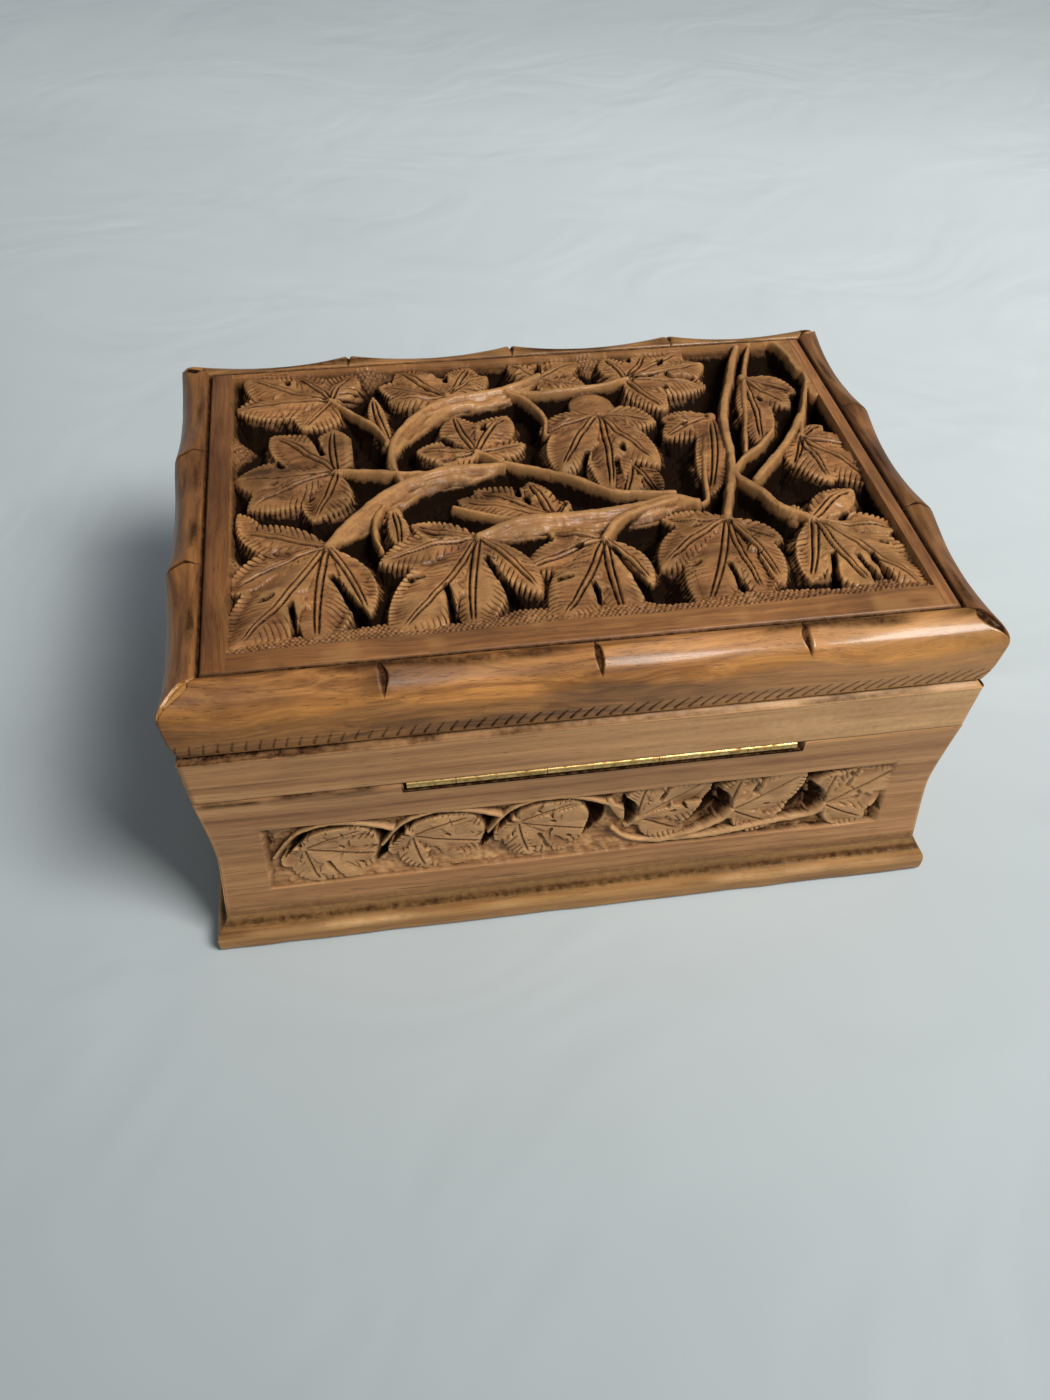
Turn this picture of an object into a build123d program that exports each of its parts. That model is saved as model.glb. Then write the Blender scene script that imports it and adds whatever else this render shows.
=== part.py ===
"""Carved walnut keepsake box: mitred walls on a moulded base board, and a hinged lid with a scalloped rim.

Row frame in millimetres: +Z up, X along the length, the hinge on the +Y side, origin under the middle of
the base. Every ring of the box (base, walls, lid rails, rim) is drawn from the same seam rectangle,
box_length by box_depth, which is the outer face of the walls where the lid meets them. "out" is a distance
outside it.
"""
from build123d import *
import math
import os

# ---- overall box, at the seam between walls and lid ----
box_length = 199.4
box_depth = 147.4
wall_thickness = 10.5
base_thickness = 12.5
wall_height = 47.5
seam_gap = 0.15
rail_height = 16.4
rim_height = 21.6

# ---- outer shape of the walls: straight slope to a waist, then a foot that flares out a little ----
waist_in = 2.7
waist_height = 23.5
waist_radius = 70.0
foot_in = 1.4

# ---- carved pockets in the walls ----
panel_end_margin = 14.4
panel_top_margin = 14.0
panel_height = 25.0
panel_floor_in = 5.6

# ---- lid rails ----
rail_flare = 1.1
rail_ledge_drop = 1.6
rail_ledge_in = 0.8

# ---- base board edge: cove above, rounded nose below ----
base_out = 2.0
base_nose_height = 8.0
base_nose_set = 0.9
base_cove_depth = 0.9
base_bottom_round = 1.2

# ---- lid rim moulding ----
rim_out = 2.3
rim_nose_drop = 5.2
rim_crown_in = 3.6
crown_rise = 1.8
rope_band_height = 4.6
rope_band_in = 0.8
rope_band_taper = 0.9
groove_in = 9.4
groove_width = 1.6
groove_depth = 1.3

# ---- scallops and tool cuts of the rim ----
bays_long = 4
bays_short = 3
scallop_depth = 2.3
scallop_lean = 44.0
notch_in = 4.4
notch_wheel_radius = 8.0
notch_depth = 1.4
notch_half_angle = 38.0
mitre_wheel_radius = 20.0
mitre_notch_depth = 1.0

# ---- lid panel between its two end cleats, with the sunk field for the carving ----
field_depth = 4.0
cleat_left = 4.2
cleat_right = 6.4
border_front = 3.6
border_rear = 7.4

# ---- brass strip hinge ----
hinge_shift = -3.6
knuckle_lengths = (13.3, 23.5, 29.0, 23.3, 12.5)
knuckle_gap = 0.2
knuckle_radius = 1.2
leaf_thickness = 0.6
leaf_spacing = 0.1
leaf_width = 7.4
pin_radius = 0.55
pin_clearance = 0.05
barrel_set_in = 1.15
barrel_gap = 0.15
slot_depth = 4.0
slot_clearance = 0.5
slot_end_right = 1.0
slot_end_left = 2.1
swing_clearance = 0.05
turning_clearance = 0.15

# ---- hinge screws ----
screw_head_radius = 1.5
screw_shank_radius = 0.75
screw_length = 6.0
screw_slot_width = 0.4
screw_slot_depth = 0.3
screw_from_axis = 4.6
screw_places = (-42.0, -16.0, 16.0, 42.0)
screw_clearance = 0.05

# ---- levels worked out from the sizes above ----
half_length = box_length / 2
half_depth = box_depth / 2
seam = base_thickness + wall_height
lid_bottom = seam + seam_gap
rail_top = lid_bottom + rail_height
lid_top = rail_top + rim_height
border_top = lid_top - crown_rise
waist_level = base_thickness + waist_height
nose_level = lid_top - rim_nose_drop
band_top = rail_top + rope_band_taper + rope_band_height
groove_line = rim_out - groove_in
crown_radius = (rim_crown_in ** 2 + rim_nose_drop ** 2) / (2 * rim_nose_drop)
barrel_drop = knuckle_radius + barrel_gap
axis_y = half_depth - barrel_set_in
axis_z = lid_bottom - barrel_drop
hinge_length = sum(knuckle_lengths)
reach = 20.0  # how far the cutting shapes run past the box


def at_side(half_span, outline):
    """A closed outline of (out, z) points and arcs, drawn on the side with outer face at y = half_span."""
    edges = []
    for piece in outline:
        points = [Vector(0, half_span + out, z) for out, z in piece]
        edges.append(ThreePointArc(*points) if len(points) == 3 else Line(*points))
    return Face(Wire(edges))


def polygon(*points):
    """Straight pieces through the (out, z) points, closed."""
    return [(a, b) for a, b in zip(points, points[1:] + points[:1])]


def mitred(half_span, half_run, outline):
    """A moulding on the +Y side, along X, with its ends mitred at 45 degrees."""
    bar = extrude(at_side(half_span, outline), amount=half_run + reach, both=True, dir=(1, 0, 0))
    far = Polyline(
        (-half_run - reach, half_span + reach),
        (half_run + reach, half_span + reach),
        (half_run - 2 * reach, half_span - 2 * reach),
        (-half_run + 2 * reach, half_span - 2 * reach),
        close=True,
    )
    return bar & extrude(make_face(far), amount=4 * lid_top, both=True)


def four_sides(outline):
    """The same mitred moulding on the rear, left, front and right sides, by name."""
    return {
        "rear": mitred(half_depth, half_length, outline),
        "left": Rot(0, 0, 90) * mitred(half_length, half_depth, outline),
        "front": Rot(0, 0, 180) * mitred(half_depth, half_length, outline),
        "right": Rot(0, 0, -90) * mitred(half_length, half_depth, outline),
    }


# ---- base and walls ----

def make_base_board():
    """Base board: rounded nose at the floor, and a cove above it up to the foot of the walls."""
    nose_top = (base_out - base_nose_set, base_nose_height)
    round_start = (base_out, base_nose_height - 2 * base_nose_set)
    foot = (-foot_in, base_thickness)
    rise = Vector(foot[0] - nose_top[0], foot[1] - nose_top[1]).normalized()
    cove_middle = (
        (nose_top[0] + foot[0]) / 2 - rise.Y * base_cove_depth,
        (nose_top[1] + foot[1]) / 2 + rise.X * base_cove_depth,
    )
    inner = -wall_thickness
    edge = [
        ((base_out - base_bottom_round, 0), (base_out - 0.3 * base_bottom_round, 0.3 * base_bottom_round),
         (base_out, base_bottom_round)),
        ((base_out, base_bottom_round), round_start),
        (round_start, (base_out - 0.25 * base_nose_set, base_nose_height - 0.6 * base_nose_set), nose_top),
        (nose_top, cove_middle, foot),
        (foot, (inner, base_thickness)),
        ((inner, base_thickness), (inner, 0)),
        ((inner, 0), (base_out - base_bottom_round, 0)),
    ]
    middle = Box(
        box_length - 2 * wall_thickness, box_depth - 2 * wall_thickness, base_thickness,
        align=(Align.CENTER, Align.CENTER, Align.MIN),
    )
    return middle + list(four_sides(edge).values())


def wall_outline():
    """Cross section of a wall: sloping face above the waist, flared foot below, upright inside."""
    slope = Vector(waist_in, seam - waist_level).normalized()
    flare = Vector(waist_in - foot_in, base_thickness - waist_level).normalized()
    turn = math.radians(slope.get_angle(flare))
    tangent = min(waist_radius / math.tan(turn / 2), 0.4 * waist_height)
    above = (-waist_in + slope.X * tangent, waist_level + slope.Y * tangent)
    below = (-waist_in + flare.X * tangent, waist_level + flare.Y * tangent)
    middle = ((above[0] + below[0]) / 4 - waist_in / 2, (above[1] + below[1]) / 4 + waist_level / 2)
    return [
        ((0, seam), above),
        (above, middle, below),
        (below, (-foot_in, base_thickness)),
        ((-foot_in, base_thickness), (-wall_thickness, base_thickness)),
        ((-wall_thickness, base_thickness), (-wall_thickness, seam)),
        ((-wall_thickness, seam), (0, seam)),
    ]


def panel_pocket(half_span, half_run):
    """Shallow pocket for the relief carving, on the +Y side."""
    length = 2 * (half_run - panel_end_margin)
    low = seam - panel_top_margin - panel_height
    block = Box(length, reach, panel_height, align=(Align.CENTER, Align.MIN, Align.MIN))
    return Pos(0, half_span - panel_floor_in, low) * block


def make_walls():
    walls = four_sides(wall_outline())
    long_pocket = panel_pocket(half_depth, half_length)
    short_pocket = panel_pocket(half_length, half_depth)
    walls["rear"] -= long_pocket
    walls["front"] -= Rot(0, 0, 180) * long_pocket
    walls["left"] -= Rot(0, 0, 90) * short_pocket
    walls["right"] -= Rot(0, 0, -90) * short_pocket
    for side in ("rear", "left", "right"):
        walls[side] -= swing_relief()
    walls["rear"] -= hinge_housing()
    walls["rear"] -= placed_screws(down=True, clearance=screw_clearance)
    return walls


def hinge_housing():
    """Barrel slot and leaf mortise, cut in the top of the rear wall."""
    slot_left = hinge_shift - hinge_length / 2 - slot_end_left
    slot_right = hinge_shift + hinge_length / 2 + slot_end_right
    slot_front = axis_y - knuckle_radius - slot_clearance
    slot = Box(
        slot_right - slot_left, half_depth + reach - slot_front, slot_depth + reach,
        align=(Align.MIN, Align.MIN, Align.MIN),
    )
    mortise_floor = lid_bottom - 2 * leaf_thickness - leaf_spacing
    mortise = Box(
        hinge_length + 2 * screw_clearance, leaf_width + screw_clearance, reach,
        align=(Align.CENTER, Align.MAX, Align.MIN),
    )
    slot = Pos(slot_left, slot_front, seam - slot_depth) * slot
    return slot + Pos(hinge_shift, axis_y, mortise_floor) * mortise


def swing_relief():
    """Rounds the rear top edge of the wall about the hinge axis, so that the lid's edge can pass it."""
    radius = barrel_drop - swing_clearance
    corner = Pos(0, axis_y, axis_z) * Box(
        2 * (half_length + reach), 2 * reach, 2 * reach, align=(Align.CENTER, Align.MIN, Align.MIN)
    )
    return corner - Pos(0, axis_y, axis_z) * Rot(0, 90, 0) * Cylinder(radius, 4 * half_length)


# ---- lid ----

def rail_outline():
    """Cross section of a lid rail: the face flares up to a narrow ledge under the lid board."""
    return polygon(
        (0, lid_bottom),
        (rail_flare, rail_top - rail_ledge_drop),
        (-rail_ledge_in, rail_top),
        (-wall_thickness, rail_top),
        (-wall_thickness, lid_bottom),
    )


def make_rails():
    rails = four_sides(rail_outline())
    rails["rear"] -= placed_screws(down=False, clearance=screw_clearance)
    return rails


def rim_outline():
    """Cross section of the rim: rope band, face, rolled crown, fall to the border, half of the V groove."""
    band_foot = (rim_out - 2 * rope_band_in - 0.4, rail_top + rope_band_taper)
    band_head = (rim_out - rope_band_in, band_top)
    nose = (rim_out, nose_level)
    crown = (rim_out - rim_crown_in, lid_top)
    half_turn = math.atan2(rim_crown_in, crown_radius - rim_nose_drop) / 2
    sagitta = crown_radius * (1 - math.cos(half_turn))
    middle = (crown[0] + crown_radius * math.sin(half_turn), lid_top - sagitta)
    return [
        ((-rail_ledge_in, rail_top), band_foot),
        (band_foot, band_head),
        (band_head, nose),
        (nose, middle, crown),
        (crown, (groove_line + groove_width / 2, border_top)),
        ((groove_line + groove_width / 2, border_top), (groove_line, border_top - groove_depth)),
        ((groove_line, border_top - groove_depth), (groove_line, rail_top)),
        ((groove_line, rail_top), (-rail_ledge_in, rail_top)),
    ]


def bay_centres(half_run, bays):
    """Middles of the scallops along one side, with their half width."""
    half_bay = (half_run + rim_out) / bays
    return [(-half_run - rim_out + half_bay * (2 * bay + 1), half_bay) for bay in range(bays)]


def scallop(half_span, centre, half_bay):
    """Leaning cylinder that scoops the crown and nose of one bay and runs out on the face below."""
    radius = (half_bay ** 2 + scallop_depth ** 2) / (2 * scallop_depth)
    place = Pos(centre, half_span + rim_out - scallop_depth, nose_level)
    return place * Rot(scallop_lean, 0, 0) * Pos(0, radius, 0) * Cylinder(radius, 4 * reach)


def wheel(radius, depth, outwards, crest):
    """V-edged wheel that nicks the crown of the rim; outwards is its lean, crest the point it cuts to."""
    half_thickness = radius * math.tan(math.radians(notch_half_angle))
    half = Cone(radius, 0, half_thickness, align=(Align.CENTER, Align.CENTER, Align.MIN))
    disc = half + Rot(180, 0, 0) * half
    lean = Vector(*outwards).normalized()
    centre = Vector(*crest) + lean * (radius - depth)
    across = lean.cross(Vector(0, 0, 1))
    return Plane(origin=centre, z_dir=across) * disc


def rim_cuts(half_span, half_run, bays):
    """Scallops of one side, notches at the crests between them, and a shallow V along each mitre."""
    notch_out = rim_out - notch_in
    cuts = []
    for centre, half_bay in bay_centres(half_run, bays):
        cuts.append(scallop(half_span, centre, half_bay))
        if centre + half_bay < half_run:
            crest = (centre + half_bay, half_span + notch_out, lid_top)
            cuts.append(wheel(notch_wheel_radius, notch_depth, (0, 0.3, 1), crest))
    for end in (-1, 1):
        crest = (end * (half_run + notch_out), half_span + notch_out, lid_top)
        cuts.append(wheel(mitre_wheel_radius, mitre_notch_depth, (end * 0.15, 0.15, 1), crest))
    return cuts


def make_rims():
    rims = four_sides(rim_outline())
    long_cuts = rim_cuts(half_depth, half_length, bays_long)
    short_cuts = rim_cuts(half_length, half_depth, bays_short)
    for side, turn in {"rear": 0, "left": 90, "front": 180, "right": -90}.items():
        cuts = long_cuts if side in ("rear", "front") else short_cuts
        rims[side] -= [Rot(0, 0, turn) * cut for cut in cuts]
    return rims


def board(left, right, front, rear):
    """An upright-edged piece of the lid's top, given by where its four edges are."""
    block = Box(right - left, rear - front, border_top - rail_top, align=(Align.MIN, Align.MIN, Align.MIN))
    return Pos(left, front, rail_top) * block


def make_lid_top():
    """Panel with the sunk field, and a cleat across the grain at each end, inside the rim."""
    end = half_length + groove_line
    edge = half_depth + groove_line
    field_left, field_right = -end + cleat_left, end - cleat_right
    field = board(field_left, field_right, -edge + border_front, edge - border_rear)
    sunk = Pos(0, 0, border_top - rail_top - field_depth) * field
    pieces = {
        "lid_panel": board(field_left, field_right, -edge, edge) - sunk,
        "lid_left_cleat": board(-end, field_left, -edge, edge),
        "lid_right_cleat": board(field_right, end, -edge, edge),
    }
    groove = polygon(
        (groove_line, border_top - groove_depth), (groove_line + groove_width, border_top + groove_depth),
        (groove_line - groove_width, border_top + groove_depth),
    )
    bevels = list(four_sides(groove).values())
    return {name: piece - bevels for name, piece in pieces.items()}


# ---- hinge ----

def barrel(radius, numbers, extra=0.0):
    """Cylinders on the hinge axis over the knuckles of the given numbers, extra longer at each end."""
    shapes = []
    start = hinge_shift - hinge_length / 2
    for number, length in enumerate(knuckle_lengths):
        if number in numbers:
            middle = start + length / 2
            body = Rot(0, 90, 0) * Cylinder(radius, length - knuckle_gap + 2 * extra)
            shapes.append(Pos(middle, axis_y, axis_z) * body)
        start += length
    return shapes


def make_leaf(numbers, others, plate_low):
    """Hinge leaf: a plate let in from the axis, with its knuckles rolled on one edge."""
    plate = Box(
        hinge_length - knuckle_gap, leaf_width, leaf_thickness, align=(Align.CENTER, Align.MAX, Align.MIN)
    )
    leaf = Pos(hinge_shift, axis_y, plate_low) * plate
    leaf -= barrel(knuckle_radius + turning_clearance, others, extra=knuckle_gap)
    for tube in barrel(knuckle_radius, numbers):
        leaf += tube
    return leaf - Pos(hinge_shift, axis_y, axis_z) * Rot(0, 90, 0) * Cylinder(
        pin_radius + pin_clearance, hinge_length + reach
    )


def screw(clearance=0.0):
    """Small countersunk wood screw, head up, top face at z = 0; grown by clearance when used as a cutter."""
    head = screw_head_radius + clearance
    shank = screw_shank_radius + clearance
    neck = head - shank
    outline = Polyline(
        (0, 0), (head, 0), (shank, -neck), (shank, 2 * shank - screw_length - clearance),
        (0, -screw_length - clearance), close=True,
    )
    body = revolve(Plane.XZ * make_face(outline), Axis.Z)
    if clearance:
        return body
    return body - Box(3 * head, screw_slot_width, 2 * screw_slot_depth)


def placed_screws(down, clearance=0.0):
    """The screws of one leaf: down into the rear wall, or up into the rear rail."""
    level = lid_bottom - leaf_thickness - leaf_spacing if down else lid_bottom - leaf_thickness
    turned = Rot(0, 0, 0) if down else Rot(180, 0, 0)
    row = []
    for along in screw_places:
        row.append(Pos(hinge_shift + along, axis_y - screw_from_axis, level) * turned * screw(clearance))
    return row


def make_hinge():
    body_leaf = make_leaf((0, 2, 4), (1, 3), lid_bottom - 2 * leaf_thickness - leaf_spacing)
    body_leaf -= placed_screws(down=True, clearance=screw_clearance)
    lid_leaf = make_leaf((1, 3), (0, 2, 4), lid_bottom - leaf_thickness)
    lid_leaf -= placed_screws(down=False, clearance=screw_clearance)
    pin = Pos(hinge_shift, axis_y, axis_z) * Rot(0, 90, 0) * Cylinder(pin_radius, hinge_length - knuckle_gap)
    return {
        "hinge_body_leaf": body_leaf,
        "hinge_lid_leaf": lid_leaf,
        "hinge_pin": pin,
        "hinge_body_screws": Compound(children=placed_screws(down=True)),
        "hinge_lid_screws": Compound(children=placed_screws(down=False)),
    }


def main():
    nodes = {"base_board": make_base_board()}
    for side, wall in make_walls().items():
        nodes[f"{side}_wall"] = wall
    for side, rail in make_rails().items():
        nodes[f"lid_{side}_rail"] = rail
    for side, rim in make_rims().items():
        nodes[f"lid_{side}_rim"] = rim
    nodes.update(make_lid_top())
    nodes.update(make_hinge())
    os.makedirs("parts", exist_ok=True)
    for name, shape in nodes.items():
        export_step(shape, f"parts/{name}.step")
        print(name, round(shape.volume, 1))


main()
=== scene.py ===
"""Looks of the carved walnut keepsake box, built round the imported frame.

Sizes are in millimetres until a mesh is written. X runs along the length, the hinge is on the +Y side.
"out" is a distance outside the seam rectangle, the outer face of the walls where the lid meets them.
"""

import math

import bpy
import numpy as np
from mathutils import Matrix, Vector


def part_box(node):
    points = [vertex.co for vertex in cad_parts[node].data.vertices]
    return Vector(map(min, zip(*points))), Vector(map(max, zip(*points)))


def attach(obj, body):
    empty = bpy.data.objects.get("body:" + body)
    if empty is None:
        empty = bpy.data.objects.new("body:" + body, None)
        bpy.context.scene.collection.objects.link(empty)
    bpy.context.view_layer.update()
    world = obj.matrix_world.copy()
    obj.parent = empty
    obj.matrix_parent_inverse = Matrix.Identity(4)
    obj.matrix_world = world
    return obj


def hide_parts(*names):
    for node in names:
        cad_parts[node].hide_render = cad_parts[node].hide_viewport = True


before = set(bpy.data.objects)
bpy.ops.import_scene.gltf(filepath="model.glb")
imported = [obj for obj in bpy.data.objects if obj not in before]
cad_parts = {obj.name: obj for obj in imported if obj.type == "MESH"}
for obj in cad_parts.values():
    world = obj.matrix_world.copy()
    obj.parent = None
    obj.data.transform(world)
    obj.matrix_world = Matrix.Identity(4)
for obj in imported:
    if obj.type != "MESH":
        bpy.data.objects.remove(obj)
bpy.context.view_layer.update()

# mesh steps in mm, all scaled by fine
fine = 1.0
wall_step, base_step, panel_step = 0.30 * fine, 1.2 * fine, 0.235 * fine
rail_row, rail_step, rim_row, rim_step = 0.5 * fine, 0.8 * fine, 0.34 * fine, 0.22 * fine
cleat_step = 0.5


# ---- levels, read from the frame ----

def reach_of(node):
    low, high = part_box(node)
    return low * 1000, high * 1000


half_length = reach_of("right_wall")[1].x
half_depth = reach_of("rear_wall")[1].y
base_top = reach_of("rear_wall")[0].z
seam = reach_of("rear_wall")[1].z
lid_bottom = reach_of("lid_rear_rail")[0].z
rail_top = reach_of("lid_rear_rail")[1].z
rail_flare = reach_of("lid_rear_rail")[1].y - half_depth
lid_top = reach_of("lid_rear_rim")[1].z
rim_out = min(reach_of("lid_rear_rim")[1].y - half_depth, reach_of("lid_right_rim")[1].x - half_length)
base_out = reach_of("base_board")[1].y - half_depth
border_top = reach_of("lid_panel")[1].z
panel_left = reach_of("lid_panel")[0].x
panel_right = reach_of("lid_panel")[1].x
groove_x = reach_of("lid_right_cleat")[1].x
groove_y = reach_of("lid_panel")[1].y
groove_out = groove_x - half_length
wall_in = -10.5

SIDES = {
    "rear": (half_depth, half_length, 0),
    "left": (half_length, half_depth, 90),
    "front": (half_depth, half_length, 180),
    "right": (half_length, half_depth, -90),
}
HAND = {"rear": 0, "left": 100, "front": 200, "right": 300}  # so that no two sides are worked alike


# ---- small tools for shaping ----

def soft(x, y, cell, seed):
    """Smooth value noise from -1 to 1, its lumps about one cell across."""
    table = np.random.default_rng(seed).random((128, 128)) * 2 - 1
    gx, gy = x / cell, y / cell
    ix, iy = np.floor(gx).astype(int), np.floor(gy).astype(int)
    fx, fy = gx - ix, gy - iy
    fx, fy = fx * fx * (3 - 2 * fx), fy * fy * (3 - 2 * fy)
    low = table[ix % 128, iy % 128] * (1 - fx) + table[(ix + 1) % 128, iy % 128] * fx
    high = table[ix % 128, (iy + 1) % 128] * (1 - fx) + table[(ix + 1) % 128, (iy + 1) % 128] * fx
    return low * (1 - fy) + high * fy


def blurred(field, cells):
    """Mean over a square window, edges held."""
    n = max(1, int(round(cells)))
    for axis in (0, 1):
        padded = np.pad(field, [(n + 1, n) if a == axis else (0, 0) for a in (0, 1)], mode="edge")
        total = np.cumsum(padded, axis=axis)
        size = field.shape[axis]
        ahead = np.take(total, np.arange(2 * n + 1, 2 * n + 1 + size), axis=axis)
        behind = np.take(total, np.arange(0, size), axis=axis)
        field = (ahead - behind) / (2 * n + 1)
    return field


def hand_line(points, step):
    """A smooth line through the points, as points about one step apart."""
    points = np.array(points, float)
    ends = np.vstack([2 * points[0] - points[1], points, 2 * points[-1] - points[-2]])
    line = []
    for a, b, c, d in zip(ends, ends[1:], ends[2:], ends[3:]):
        count = max(2, int(np.hypot(*(c - b)) / step))
        for t in np.linspace(0, 1, count, endpoint=False):
            line.append(
                0.5 * (2 * b + (c - a) * t + (2 * a - 5 * b + 4 * c - d) * t ** 2 + (3 * b - a - 3 * c + d) * t ** 3)
            )
    line.append(points[-1])
    return np.array(line)


def evenly(points, step):
    """Points about one step apart along a chain of straight pieces, corners kept."""
    out = [points[0]]
    for a, b in zip(points, points[1:]):
        count = max(1, int(math.ceil(math.dist(a, b) / step)))
        for n in range(1, count + 1):
            out.append((a[0] + (b[0] - a[0]) * n / count, a[1] + (b[1] - a[1]) * n / count))
    return out


def select_none():
    if bpy.context.object and bpy.context.object.mode != "OBJECT":
        bpy.ops.object.mode_set(mode="OBJECT")
    bpy.ops.object.select_all(action="DESELECT")


def sheet_of(name, points, **marks):
    """A grid primitive whose vertices are pulled to the given rows and columns of points; marks become attributes."""
    rows, columns, _ = points.shape
    select_none()
    bpy.ops.mesh.primitive_grid_add(x_subdivisions=columns - 1, y_subdivisions=rows - 1, size=1)
    piece = bpy.context.object
    piece.name = piece.data.name = name
    piece.data.vertices.foreach_set("co", (points * 0.001).astype(np.float32).ravel())
    for mark, values in marks.items():
        attribute = piece.data.attributes.new(mark, "FLOAT", "POINT")
        attribute.data.foreach_set("value", values.astype(np.float32).ravel())
    piece.data.update()
    return piece


def closed_up(piece, angle=50):
    """Merges what meets, closes what is open, turns the faces outwards and smooths all but the sharp edges."""
    bpy.ops.object.mode_set(mode="EDIT")
    bpy.ops.mesh.select_all(action="SELECT")
    bpy.ops.mesh.remove_doubles(threshold=0.000001)
    bpy.ops.mesh.fill_holes(sides=0)
    bpy.ops.mesh.select_all(action="SELECT")
    bpy.ops.mesh.normals_make_consistent(inside=False)
    bpy.ops.object.mode_set(mode="OBJECT")
    bpy.ops.object.shade_smooth_by_angle(angle=math.radians(angle))
    return piece


def placed(piece, body, slot, material, *nodes):
    """Hands a finished piece to its body, in place of its CAD nodes."""
    piece.data.materials.clear()
    piece.data.materials.append(material)
    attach(piece, body)
    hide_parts(*nodes)
    return piece


# ---- carving: a height above the uncut wood at each place of a grid ----

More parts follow.
